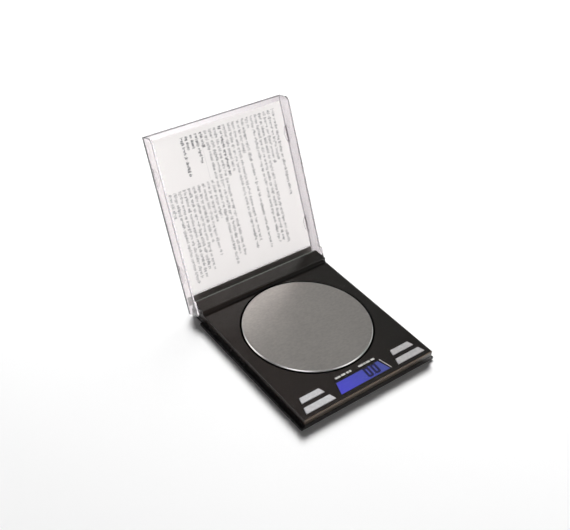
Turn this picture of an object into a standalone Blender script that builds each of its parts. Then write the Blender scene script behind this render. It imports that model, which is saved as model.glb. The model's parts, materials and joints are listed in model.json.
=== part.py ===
"""Slim folding digital gram scale: a case the size of a disc jewel box, with a hinged clear lid.

Case coordinates: X runs along the hinge, Y from the front edge (display and keys) to the hinge,
Z up from the table.  All lengths are in metres.
"""
import math

import bmesh
import bpy
from mathutils import Matrix, Vector

# ---------------------------------------------------------------- driving dimensions
GAP = 0.0003                     # clearance between touching pieces

CASE_WIDTH = 0.125               # across the lid and the tray's flanges
CASE_DEPTH = 0.142               # front edge to the lid's hinge end
BODY_WIDTH = 0.1202              # tray and cover between the lid's side walls
BODY_REAR = 0.1406               # rear face of tray and cover
FOOT_HEIGHT = 0.0008             # how far the feet lift the case
WALL = 0.0018
FLOOR = 0.0014
FLANGE_THICKNESS = 0.0020
FLANGE_END = 0.1272              # the flanges stop short of the lid's hinge arms

TRAY_BOTTOM = FOOT_HEIGHT
FLOOR_TOP = TRAY_BOTTOM + FLOOR
FLANGE_TOP = TRAY_BOTTOM + FLANGE_THICKNESS
TRAY_TOP = 0.0047
COVER_BOTTOM = TRAY_TOP + GAP
COVER_TOP = 0.0098
COVER_PLATE = 0.0016
COVER_EDGE = 0.0004              # rounding of the cover's edges
PLATE_UNDERSIDE = COVER_TOP - COVER_PLATE

STRIP_FRONT = 0.1274             # raised rear strip over the battery bay
STRIP_TOP = 0.0134
STRIP_PLATE = 0.0009
STEP_FRONT = 0.1266              # small step at the foot of the strip
STEP_TOP = 0.0107
STRIP_EDGE = 0.0006
STEP_EDGE = 0.0002
BAY_WALL = 0.0014                # wall between the battery bay and the weighing space
BAY_REAR_WALL = 0.0016
NOTCH_X = 0.0505                 # notches where the battery leads leave the bay
NOTCH_HALF_WIDTH = 0.0015
NOTCH_TOP = 0.0065

LID_TOP = 0.0156
LID_PANEL = 0.0012
LID_INSIDE = LID_TOP - LID_PANEL
LID_FRONT = 0.0003
LID_WALL = 0.0016
LID_WALL_CORNER = 0.0045         # rounding of the side walls at the free end
LID_WALL_LEAN = 0.0012           # how far the side walls draw back at the free end
ARM_FRONT = 0.1287               # the hinge arms: deeper ends of the side walls
ARM_BOTTOM = 0.0010
ARM_CORNER = 0.0032
ARM_FRONT_CORNER = 0.0012
OPEN_ANGLE = math.radians(115.5)
PIN_Y = 0.1378
PIN_Z = 0.0074
PIN_RADIUS = 0.0018
SOCKET_RADIUS = 0.00195
SOCKET_DEPTH = 0.0015
PIN_REACH = 0.0012               # how far the stub pins reach into the cover's side walls

PAN_Y = 0.0744
PAN_RADIUS = 0.0500
PAN_TOP = 0.0108
PAN_THICKNESS = 0.0008
PAN_LIP = 0.0014
PAN_EDGE = 0.0008
PAN_OPENING = 0.0510
CARRIER_RADIUS = 0.0486
CARRIER_TOP = PAN_TOP - PAN_THICKNESS - GAP
CARRIER_BOTTOM = 0.0084
CARRIER_SEAT = 0.0088            # where the carrier's screw heads rest

LOAD_CELL_LENGTH = 0.0500
LOAD_CELL_WIDTH = 0.0090
LOAD_CELL_BOTTOM = 0.0032
LOAD_CELL_TOP = 0.0076
LOAD_CELL_END = 0.0035           # length of the clamped ends past the inner screws
SLOT_HALF_LENGTH = 0.0045        # the weakened middle: a slot with wider rounded ends
SLOT_HALF_HEIGHT = 0.0006
RELIEF_HALF = 0.0014
RELIEF_ROUNDING = 0.0009
GAUGE_HALF_LENGTH = 0.0050
GAUGE_HALF_WIDTH = 0.0030
GAUGE_THICKNESS = 0.0002
LOAD_SCREW_X = (0.0155, 0.0215)  # screw places from the cell's middle, towards each end

BOARD_BOTTOM = 0.0040
BOARD_TOP = 0.0050
BOARD_FRONT = 0.0030
BOARD_REAR = 0.0215
BOARD_HALF_WIDTH = 0.0560
BOARD_SCREW = (0.0280, 0.0185)
BOARD_POST_RADIUS = 0.0022
BOARD_HOLE_RADIUS = 0.0012
BOARD_HOLE_BOTTOM = 0.0025
CHIP_LOW = (-0.0050, 0.0070, 0.0025)
CHIP_HIGH = (0.0050, 0.0170, BOARD_BOTTOM - GAP)

DISPLAY_FRONT = 0.0040           # trapezoid recess for the display window
DISPLAY_REAR = 0.0166
DISPLAY_HALF_FRONT = 0.0246
DISPLAY_HALF_REAR = 0.0208
DISPLAY_LEDGE = 0.0009
DISPLAY_SLOPE = 0.7              # share of an inset that shows across the depth of the recess
WINDOW_SEAT = 0.0088
WINDOW_DROP = 0.0001             # the window lies this far below the cover's top
GLASS_BOTTOM = 0.0068
GLASS_TOP = 0.0079
GLASS_HALF_WIDTH = 0.0255
GLASS_SPAN = (0.0036, 0.0178)
LIGHT_HALF_WIDTH = 0.0240
LIGHT_SPAN = (0.0060, 0.0176)
ZEBRA_HALF_WIDTH = 0.0230
ZEBRA_SPAN = (0.0040, 0.0055)

KEY_REAR_ROW = (0.0131, 0.0182)
KEY_FRONT_ROW = (0.0041, 0.0094)
KEY_OUTER = 0.0512               # at the rear edge of the rear row
KEY_INNER = 0.0340
KEY_SLANT = 0.326                # how fast the keys widen towards the front
KEY_TOP = 0.0102
KEY_EDGE = 0.00025
KEY_FLANGE = 0.0007              # thickness and reach of the hidden flange under the cover
KEY_FLANGE_TOP = PLATE_UNDERSIDE - GAP
KEY_STEM_BOTTOM = 0.0070
KEY_STEM_RADIUS = 0.0015
SWITCH_SIZE = 0.0045
SWITCH_TOP = 0.0062
PLUNGER_RADIUS = 0.0010
PLUNGER_TOP = 0.0066

BATTERY_RADIUS = 0.0049             # the two battery cells lie end to end in the strip
BATTERY_BODY = 0.0435
BATTERY_NUB = 0.0009
BATTERY_Y = 0.1336
BATTERY_Z = 0.0073
BATTERY_NUB_RADIUS = 0.0019
BATTERY_EDGE = 0.0005
CONTACT_HALF_WIDTH = 0.0040
CONTACT_HALF_THICKNESS = 0.0002
CONTACT_SPAN = (0.0050, 0.0115)
SPRING_TURNS = 3.5
SPRING_LENGTH = 0.0030
SPRING_RADII = (0.0022, 0.0034)
SPRING_WIRE = 0.00025
LEAD_RADIUS = 0.0005
SIGNAL_RADIUS = 0.0007

DOOR_HALF_LENGTH = 0.0467
DOOR_FRONT = 0.1287
DOOR_REAR = 0.1387
DOOR_THICKNESS = 0.0012
DOOR_AXIS = (0.1289, 0.0010)
GRIP_PITCH = 0.0022              # three shallow grip slots near the door's free edge
GRIP_HALF_WIDTH = 0.0006
GRIP_SPAN = (0.1342, 0.1372)
GRIP_DEPTH = 0.0004
RIB_OFFSET = 0.0030              # ribs beyond the door that hold the contacts
RIB_HALF_THICKNESS = 0.0005

FOOT_RADIUS = 0.0040
FOOT_RECESS = 0.0006
FOOT_PLACES = ((-0.050, 0.012), (0.050, 0.012), (-0.050, 0.112), (0.050, 0.112))
POST_PLACES = ((-0.055, 0.0255), (0.055, 0.0255), (-0.055, 0.1223), (0.055, 0.1223))
POST_RADIUS = 0.0026
ROOT = 0.0005                    # how far a boss runs into the plate it stands on
POST_CLEARANCE = 0.0002          # posts and ribs stop this far below the tray's rim
SCREW_HOLE = 0.0014
CASE_COUNTERBORE = (0.0023, 0.0021)      # radius and top of the case screws' counterbores
CELL_COUNTERBORE = (0.0026, 0.0019)
COVER_HOLE_TOP = 0.0078

# screws: head radius, low and high, then shank radius, low and high
CASE_SCREW = ((0.0020, 0.0009, 0.0018), (0.0011, 0.0018, 0.0074))
LOAD_CELL_SCREW = ((0.0023, 0.0009, 0.0016), (0.0011, 0.0016, 0.0068))
CARRIER_SCREW = ((0.0022, 0.0090, 0.0096), (0.0011, 0.0044, 0.0090))
BOARD_SCREW_SHAPE = ((0.0017, BOARD_TOP + GAP, 0.0060), (0.0009, 0.0028, BOARD_TOP + GAP))

SHEET_HALF_WIDTH = 0.0600
SHEET_FRONT = 0.0049
SHEET_REAR = 0.1284
SHEET_THICKNESS = 0.0003
BAND_FRONT = 0.1288
BAND_REAR = 0.1356
BAND_THICKNESS = 0.0004

TAB_PLACES = (0.032, 0.109)      # middles of the sheet-holding tabs along each side wall
TAB_LENGTH = 0.0160
TAB_REACH = 0.0032
TAB_TOP = 0.0134
TAB_THICKNESS = 0.0010

# reach of the open lid behind the front edge: the model is centred on it
LID_REACH = (PIN_Y - (PIN_Y - LID_FRONT) * math.cos(OPEN_ANGLE)
             + (LID_TOP - PIN_Z) * math.sin(OPEN_ANGLE))


# ---------------------------------------------------------------- scene and helpers
for old in list(bpy.data.objects):
    bpy.data.objects.remove(old, do_unlink=True)

PARTS = bpy.data.collections.new("digital_gram_scale")
CUTTERS = bpy.data.collections.new("cutters")
for group in (PARTS, CUTTERS):
    bpy.context.scene.collection.children.link(group)


def material(name, colour, roughness, metallic=0.0, alpha=1.0):
    """A Principled material."""
    made = bpy.data.materials.new(name)
    made.use_nodes = True
    shader = made.node_tree.nodes["Principled BSDF"]
    shader.inputs["Base Color"].default_value = (*colour, 1.0)
    shader.inputs["Roughness"].default_value = roughness
    shader.inputs["Metallic"].default_value = metallic
    shader.inputs["Alpha"].default_value = alpha
    return made


CLEAR = material("clear_plastic", (0.85, 0.84, 0.86), 0.1, alpha=0.3)
PAPER = material("paper", (0.85, 0.84, 0.83), 0.9)
TRAY_BLACK = material("tray_plastic", (0.010, 0.009, 0.009), 0.45)
COVER_BLACK = material("cover_plastic", (0.025, 0.020, 0.019), 0.5)
BAND_DARK = material("lid_band", (0.045, 0.050, 0.045), 0.4)
STEEL = material("brushed_steel", (0.42, 0.41, 0.40), 0.35, 1.0)
SCREW_STEEL = material("screw_steel", (0.45, 0.45, 0.47), 0.3, 1.0)
ALUMINIUM = material("aluminium", (0.60, 0.61, 0.62), 0.35, 1.0)
CARRIER_GREY = material("carrier_plastic", (0.12, 0.12, 0.12), 0.55)
BOARD_GREEN = material("board", (0.02, 0.12, 0.05), 0.5)
CHIP_BLACK = material("chip", (0.01, 0.01, 0.01), 0.6)
GAUGE_WHITE = material("gauge_coating", (0.75, 0.73, 0.68), 0.6)
DISPLAY_BLUE = material("display_blue", (0.08, 0.09, 0.42), 0.2)
LIGHT_GUIDE = material("light_guide", (0.65, 0.72, 0.95), 0.3)
ZEBRA_GREY = material("zebra_strip", (0.25, 0.25, 0.27), 0.8)
KEY_SILVER = material("key_silver", (0.72, 0.71, 0.73), 0.35)
RUBBER = material("foot_rubber", (0.02, 0.02, 0.02), 0.9)
BATTERY_JACKET = material("battery_jacket", (0.10, 0.11, 0.13), 0.35)
LEAD_RED = material("lead_red", (0.45, 0.02, 0.02), 0.5)
LEAD_BLACK = material("lead_black", (0.015, 0.015, 0.015), 0.5)
LEAD_GREY = material("lead_grey", (0.30, 0.30, 0.31), 0.5)


def empty(name, location, parent=None):
    """A placing empty, which isn't a piece."""
    made = bpy.data.objects.new(name, None)
    made.empty_display_size = 0.01
    made.location = location
    made.parent = parent
    PARTS.objects.link(made)
    return made


CASE = empty("case_origin", (0, -LID_REACH / 2, 0))
LID_PIVOT = empty("lid_pivot", (0, PIN_Y, PIN_Z), CASE)
LID_PIVOT.rotation_euler = (-OPEN_ANGLE, 0, 0)
PIVOT_SHIFT = (0, -PIN_Y, -PIN_Z)      # closed case coordinates seen from the lid's pivot
DOOR_PIVOT = empty("door_pivot", (0, *DOOR_AXIS), CASE)
DOOR_SHIFT = (0, -DOOR_AXIS[0], -DOOR_AXIS[1])


def adopt(obj, name, look, parent=CASE, shift=(0, 0, 0), cutter=False):
    """Names an object, gives it its material and parent, and files it with the parts or cutters."""
    for group in list(obj.users_collection):
        group.objects.unlink(obj)
    (CUTTERS if cutter else PARTS).objects.link(obj)
    obj.name = name
    obj.data.name = name
    obj.data.materials.clear()
    if look is not None:
        obj.data.materials.append(look)
    obj.parent = parent
    obj.location = [place + move for place, move in zip(obj.location, shift)]
    if cutter:
        obj.hide_render = True
        obj.display_type = "WIRE"
    return obj


def set_mesh_transform(obj, matrix):
    """Moves the rotation and scale into the mesh and leaves the location on the object."""
    place = Matrix.Translation(obj.location)
    obj.data.transform(place.inverted() @ matrix)
    obj.rotation_euler = (0, 0, 0)
    obj.scale = (1, 1, 1)


def set_origin(obj, place):
    """Puts an object's origin at a place without moving its shape."""
    obj.data.transform(Matrix.Translation(obj.location - Vector(place)))
    obj.location = place


def box(name, low, high, look=None, **filing):
    """A box between two corners in case coordinates."""
    bpy.ops.mesh.primitive_cube_add(size=1)
    obj = bpy.context.object
    middle = [(a + b) / 2 for a, b in zip(low, high)]
    size = [b - a for a, b in zip(low, high)]
    obj.location = middle
    set_mesh_transform(obj, Matrix.Translation(middle) @ Matrix.Diagonal((*size, 1)))
    return adopt(obj, name, look, **filing)


def rod(name, centre, radius, low, high, look=None, axis="Z", sides=32, **filing):
    """A cylinder along Z or X; centre is its place across the axis."""
    bpy.ops.mesh.primitive_cylinder_add(vertices=sides, radius=radius, depth=high - low)
    obj = bpy.context.object
    middle = (low + high) / 2
    if axis == "Z":
        obj.location = (centre[0], centre[1], middle)
        turn = Matrix.Identity(4)
    else:
        obj.location = (middle, centre[0], centre[1])
        turn = Matrix.Rotation(math.pi / 2, 4, "Y")
    set_mesh_transform(obj, Matrix.Translation(obj.location) @ turn)
    smooth(obj)
    return adopt(obj, name, look, **filing)


def smooth(obj):
    """Smooth shading with sharp edges kept."""
    obj.data.shade_smooth()
    obj.data.set_sharp_from_angle(angle=math.radians(40))


def mesh_from_curve(curve_object):
    """Replaces a curve object by its welded mesh."""
    bpy.context.view_layer.update()
    evaluated = curve_object.evaluated_get(bpy.context.evaluated_depsgraph_get())
    mesh = bpy.data.meshes.new_from_object(evaluated)
    shell = bmesh.new()
    shell.from_mesh(mesh)
    bmesh.ops.remove_doubles(shell, verts=shell.verts, dist=1e-6)
    bmesh.ops.recalc_face_normals(shell, faces=shell.faces)
    shell.to_mesh(mesh)
    shell.free()
    obj = bpy.data.objects.new(curve_object.name, mesh)
    obj.matrix_world = curve_object.matrix_world.copy()
    PARTS.objects.link(obj)
    bpy.data.objects.remove(curve_object, do_unlink=True)
    return obj


def outline_curve(points, half_thickness):
    """A filled flat outline with a thickness, as a curve object."""
    data = bpy.data.curves.new("outline", "CURVE")
    data.dimensions = "2D"
    data.fill_mode = "BOTH"
    data.extrude = half_thickness
    line = data.splines.new("POLY")
    line.points.add(len(points) - 1)
    for point, (x, y) in zip(line.points, points):
        point.co = (x, y, 0, 1)
    line.use_cyclic_u = True
    obj = bpy.data.objects.new("outline", data)
    PARTS.objects.link(obj)
    return obj


def slab(name, points, low, high, look=None, **filing):
    """A flat outline in X and Y, between two heights."""
    curve_object = outline_curve(points, (high - low) / 2)
    curve_object.location = (0, 0, (low + high) / 2)
    obj = mesh_from_curve(curve_object)
    return adopt(obj, name, look, **filing)


def profile_slab(name, points, low, high, look=None, **filing):
    """A flat outline in Y and Z, between two X values."""
    curve_object = outline_curve(points, (high - low) / 2)
    obj = mesh_from_curve(curve_object)
    turn = Matrix(((0, 0, 1, 0), (1, 0, 0, 0), (0, 1, 0, 0), (0, 0, 0, 1)))
    obj.location = ((low + high) / 2, 0, 0)
    set_mesh_transform(obj, Matrix.Translation(obj.location) @ turn)
    return adopt(obj, name, look, **filing)


def turned(name, profile, steps, look, centre=(0, 0, 0), **filing):
    """A turned piece about Z; the profile runs down its outer side from the axis to the axis."""
    mesh = bpy.data.meshes.new(name)
    shape = bmesh.new()
    corners = [shape.verts.new((radius, 0, height)) for radius, height in profile]
    for one, two in zip(corners, corners[1:]):
        shape.edges.new((one, two))
    shape.to_mesh(mesh)
    shape.free()
    obj = bpy.data.objects.new(name, mesh)
    PARTS.objects.link(obj)
    obj.location = centre
    screw = obj.modifiers.new("turn", "SCREW")
    screw.steps = steps
    screw.render_steps = steps
    screw.use_merge_vertices = True
    screw.merge_threshold = 1e-6
    screw.use_smooth_shade = False
    return adopt(obj, name, look, **filing)


def wire(name, points, radius, look, **filing):
    """A round wire along the given points."""
    data = bpy.data.curves.new(name, "CURVE")
    data.dimensions = "3D"
    data.bevel_depth = radius
    data.bevel_resolution = 2
    data.use_fill_caps = True
    line = data.splines.new("POLY")
    line.points.add(len(points) - 1)
    for point, place in zip(line.points, points):
        point.co = (*place, 1)
    obj = bpy.data.objects.new(name, data)
    PARTS.objects.link(obj)
    return adopt(mesh_from_curve(obj), name, look, **filing)


def combine(obj, other, operation):
    """An exact Boolean with a cutter, or with a piece to join."""
    step = obj.modifiers.new(operation.lower(), "BOOLEAN")
    step.operation = operation
    step.solver = "EXACT"
    step.object = other


def cut(obj, *others):
    for other in others:
        combine(obj, other, "DIFFERENCE")


def join(obj, *others):
    for other in others:
        combine(obj, other, "UNION")


def bevel(obj, width, segments=2):
    """Rounds the sharp edges."""
    step = obj.modifiers.new("rounded_edges", "BEVEL")
    step.width = width
    step.segments = segments
    step.limit_method = "ANGLE"
    step.angle_limit = math.radians(50)


def arc(centre, radius, start, end, steps):
    """Points on an arc, angles in degrees."""
    points = []
    for index in range(steps + 1):
        angle = math.radians(start + (end - start) * index / steps)
        points.append((centre[0] + radius * math.cos(angle), centre[1] + radius * math.sin(angle)))
    return points


def smooth_route(points, count):
    """Even points along a smooth curve through a few route points."""
    route = []
    last = len(points) - 1
    for index in range(count + 1):
        along = last * index / count
        leg = min(int(along), last - 1)
        t = along - leg
        near = [points[max(leg - 1, 0)], points[leg], points[leg + 1], points[min(leg + 2, last)]]
        place = []
        for a, b, c, d in zip(*near):
            place.append(0.5 * (2 * b + (c - a) * t + (2 * a - 5 * b + 4 * c - d) * t * t
                                + (3 * b - a - 3 * c + d) * t ** 3))
        route.append(place)
    return route


def cutter_box(name, low, high, **filing):
    return box(name, low, high, cutter=True, **filing)


def cutter_rod(name, centre, radius, low, high, **filing):
    return rod(name, centre, radius, low, high, cutter=True, **filing)


# ---------------------------------------------------------------- lower shell
HALF_BODY = BODY_WIDTH / 2
INNER_X = HALF_BODY - WALL
PAST = 0.001                     # how far a cutter runs past the face it opens
CORNERS = ("front_left", "front_right", "rear_left", "rear_right")


def screw_places():
    """Names and places of the four case screws."""
    return list(zip(CORNERS, POST_PLACES))


def make_base_tray():
    """Tray: floor, low walls, side flanges, posts, foot recesses and the battery opening."""
    tray = box("base_tray", (-HALF_BODY, 0, TRAY_BOTTOM), (HALF_BODY, BODY_REAR, TRAY_TOP), TRAY_BLACK)
    flange = cutter_box("tray_flange", (-CASE_WIDTH / 2, 0, TRAY_BOTTOM),
                        (CASE_WIDTH / 2, FLANGE_END, FLANGE_TOP))
    hollow = cutter_box("tray_hollow", (-INNER_X, WALL, FLOOR_TOP),
                        (INNER_X, BODY_REAR - WALL, TRAY_TOP + PAST))
    join(tray, flange)
    cut(tray, hollow)
    for name, place in screw_places():
        join(tray, cutter_rod("tray_post_" + name, place, POST_RADIUS, TRAY_BOTTOM + ROOT,
                              TRAY_TOP - POST_CLEARANCE, sides=20))
    pad = cutter_box("cell_pad", (-LOAD_CELL_LENGTH / 2, PAN_Y - LOAD_CELL_WIDTH / 2, TRAY_BOTTOM + ROOT),
                     (LOAD_CELL_END - LOAD_SCREW_X[0], PAN_Y + LOAD_CELL_WIDTH / 2,
                      LOAD_CELL_BOTTOM - GAP))
    join(tray, pad)
    for side in (-1, 1):
        place = (side * BOARD_SCREW[0], BOARD_SCREW[1])
        join(tray, cutter_rod("board_post", place, BOARD_POST_RADIUS, TRAY_BOTTOM + ROOT,
                              BOARD_BOTTOM - GAP, sides=20))
        cut(tray, cutter_rod("board_post_hole", place, BOARD_HOLE_RADIUS, BOARD_HOLE_BOTTOM,
                             BOARD_BOTTOM, sides=16))
        rib_x = side * (DOOR_HALF_LENGTH + RIB_OFFSET)
        join(tray, cutter_box("contact_rib", (rib_x - RIB_HALF_THICKNESS, DOOR_FRONT, TRAY_BOTTOM + ROOT),
                              (rib_x + RIB_HALF_THICKNESS, DOOR_REAR, TRAY_TOP - POST_CLEARANCE)))
    for name, place in screw_places():
        cut(tray, cutter_rod("tray_screw_hole_" + name, place, SCREW_HOLE, 0, TRAY_TOP + PAST, sides=16))
        cut(tray, cutter_rod("tray_counterbore_" + name, place, CASE_COUNTERBORE[0], 0,
                             CASE_COUNTERBORE[1], sides=20))
    for offset in LOAD_SCREW_X:
        place = (-offset, PAN_Y)
        cut(tray, cutter_rod("cell_screw_hole", place, SCREW_HOLE, 0, LOAD_CELL_BOTTOM, sides=16))
        cut(tray, cutter_rod("cell_counterbore", place, CELL_COUNTERBORE[0], 0, CELL_COUNTERBORE[1],
                             sides=20))
    for place in FOOT_PLACES:
        cut(tray, cutter_rod("foot_recess", place, FOOT_RADIUS + GAP, 0, TRAY_BOTTOM + FOOT_RECESS,
                             sides=28))
    opening = cutter_box("battery_opening", (-DOOR_HALF_LENGTH - GAP, DOOR_FRONT - GAP, 0),
                         (DOOR_HALF_LENGTH + GAP, DOOR_REAR + GAP, FLOOR_TOP + GAP))
    cut(tray, opening)
    return tray


def make_feet():
    """Rubber feet in shallow recesses."""
    for name, place in zip(CORNERS, FOOT_PLACES):
        top = TRAY_BOTTOM + FOOT_RECESS - GAP
        rod("rubber_foot_" + name, place, FOOT_RADIUS, 0, top, RUBBER, sides=28)


def screw_piece(name, place, head, shank):
    """A screw: head and shank are (radius, low, high); the head is at either end."""
    if head[1] < shank[1]:
        profile = [(0, shank[2]), (shank[0], shank[2]), (shank[0], head[2]), (head[0], head[2]),
                   (head[0], head[1]), (0, head[1])]
    else:
        profile = [(0, head[2]), (head[0], head[2]), (head[0], head[1]), (shank[0], head[1]),
                   (shank[0], shank[1]), (0, shank[1])]
    turned(name, profile, 16, SCREW_STEEL, (place[0], place[1], 0))


def make_screws():
    """Case screws from below, load cell screws at both of its ends, and the board's screws."""
    for name, place in screw_places():
        screw_piece("case_screw_" + name, place, *CASE_SCREW)
    for number, offset in enumerate(LOAD_SCREW_X, 1):
        screw_piece("load_cell_screw_%d" % number, (-offset, PAN_Y), *LOAD_CELL_SCREW)
        screw_piece("carrier_screw_%d" % number, (offset, PAN_Y), *CARRIER_SCREW)
    for name, side in (("left", -1), ("right", 1)):
        screw_piece("board_screw_" + name, (side * BOARD_SCREW[0], BOARD_SCREW[1]), *BOARD_SCREW_SHAPE)


# ---------------------------------------------------------------- upper shell
def key_edges(side, row, spread=0.0):
    """Corner points of a key's trapezoid on one side (-1 left, 1 right), grown by spread."""
    front, rear = row
    points = []
    for y, lift in ((front, -spread), (rear, spread)):
        widening = KEY_SLANT * (KEY_REAR_ROW[1] - y)
        points.append(((KEY_INNER - widening - spread), y + lift))
        points.append(((KEY_OUTER + widening + spread), y + lift))
    front_in, front_out, rear_in, rear_out = points
    corners = [front_in, front_out, rear_out, rear_in]
    return [(side * x, y) for x, y in (corners if side > 0 else reversed(corners))]


def display_edges(inset):
    """Corner points of the display's trapezoid, drawn in by inset."""
    half_front = DISPLAY_HALF_FRONT - inset
    half_rear = DISPLAY_HALF_REAR - inset
    front = DISPLAY_FRONT + inset * DISPLAY_SLOPE
    rear = DISPLAY_REAR - inset * DISPLAY_SLOPE
    return [(-half_front, front), (half_front, front), (half_rear, rear), (-half_rear, rear)]


KEYS = (("left_rear", -1, KEY_REAR_ROW), ("left_front", -1, KEY_FRONT_ROW),
        ("right_rear", 1, KEY_REAR_ROW), ("right_front", 1, KEY_FRONT_ROW))


def make_top_cover():
    """Cover: plate with skirt, raised rear strip with its step, pan, key and display openings."""
    cover = box("top_cover", (-HALF_BODY, 0, COVER_BOTTOM), (HALF_BODY, BODY_REAR, COVER_TOP), COVER_BLACK)
    bevel(cover, COVER_EDGE)
    strip = cutter_box("strip_block", (-HALF_BODY, STRIP_FRONT, COVER_BOTTOM + PAST),
                       (HALF_BODY, BODY_REAR, STRIP_TOP))
    bevel(strip, STRIP_EDGE, 3)
    step = cutter_box("strip_step", (-HALF_BODY, STEP_FRONT, COVER_BOTTOM + PAST),
                      (HALF_BODY, STRIP_FRONT + PAST * 2, STEP_TOP))
    bevel(step, STEP_EDGE, 1)
    join(cover, strip, step)
    hollow = cutter_box("cover_hollow", (-INNER_X, WALL, 0), (INNER_X, STEP_FRONT, PLATE_UNDERSIDE))
    bay = cutter_box("battery_bay", (-INNER_X, STEP_FRONT + BAY_WALL, 0),
                     (INNER_X, BODY_REAR - BAY_REAR_WALL, STRIP_TOP - STRIP_PLATE))
    cut(cover, hollow, bay)
    for name, place in screw_places():
        join(cover, cutter_rod("cover_post_" + name, place, POST_RADIUS, COVER_BOTTOM,
                               PLATE_UNDERSIDE + ROOT, sides=20))
        cut(cover, cutter_rod("cover_screw_hole_" + name, place, SCREW_HOLE, 0, COVER_HOLE_TOP, sides=16))
    for side in (-1, 1):
        notch_x = side * NOTCH_X
        cut(cover, cutter_box("lead_notch", (notch_x - NOTCH_HALF_WIDTH, STEP_FRONT - PAST, 0),
                              (notch_x + NOTCH_HALF_WIDTH, STRIP_FRONT + PAST * 2, NOTCH_TOP)))
        low, high = sorted((side * (HALF_BODY + PAST), side * (HALF_BODY - SOCKET_DEPTH)))
        cut(cover, cutter_rod("pin_socket", (PIN_Y, PIN_Z), SOCKET_RADIUS, low, high, axis="X",
                              sides=32))
    cut(cover, cutter_rod("pan_opening", (0, PAN_Y), PAN_OPENING, 0, COVER_TOP + PAST, sides=96))
    cut(cover, slab("display_recess", display_edges(0), WINDOW_SEAT, COVER_TOP + PAST, cutter=True))
    cut(cover, slab("display_opening", display_edges(DISPLAY_LEDGE), 0, COVER_TOP, cutter=True))
    for name, side, row in KEYS:
        cut(cover, slab("key_opening_" + name, key_edges(side, row, GAP), 0, COVER_TOP + PAST,
                        cutter=True))
    return cover


def make_keys():
    """Key caps with a hidden flange under the cover and a stem over the switch."""
    for name, side, row in KEYS:
        middle = ((KEY_INNER + KEY_OUTER) / 2 * side, (row[0] + row[1]) / 2)
        key = slab("key_" + name, key_edges(side, row), KEY_FLANGE_TOP - KEY_FLANGE / 2, KEY_TOP,
                   KEY_SILVER)
        set_origin(key, (*middle, KEY_TOP))
        bevel(key, KEY_EDGE)
        flange = slab("key_flange_" + name, key_edges(side, row, KEY_FLANGE),
                      KEY_FLANGE_TOP - KEY_FLANGE, KEY_FLANGE_TOP, cutter=True)
        stem = cutter_rod("key_stem_" + name, middle, KEY_STEM_RADIUS, KEY_STEM_BOTTOM,
                          KEY_FLANGE_TOP - KEY_FLANGE / 2, sides=16)
        join(key, flange, stem)
        half = SWITCH_SIZE / 2
        switch = box("tact_switch_" + name, (middle[0] - half, middle[1] - half, BOARD_TOP + GAP),
                     (middle[0] + half, middle[1] + half, SWITCH_TOP), CHIP_BLACK)
        join(switch, cutter_rod("plunger_" + name, middle, PLUNGER_RADIUS, SWITCH_TOP - ROOT,
                                PLUNGER_TOP, sides=16))


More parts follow.
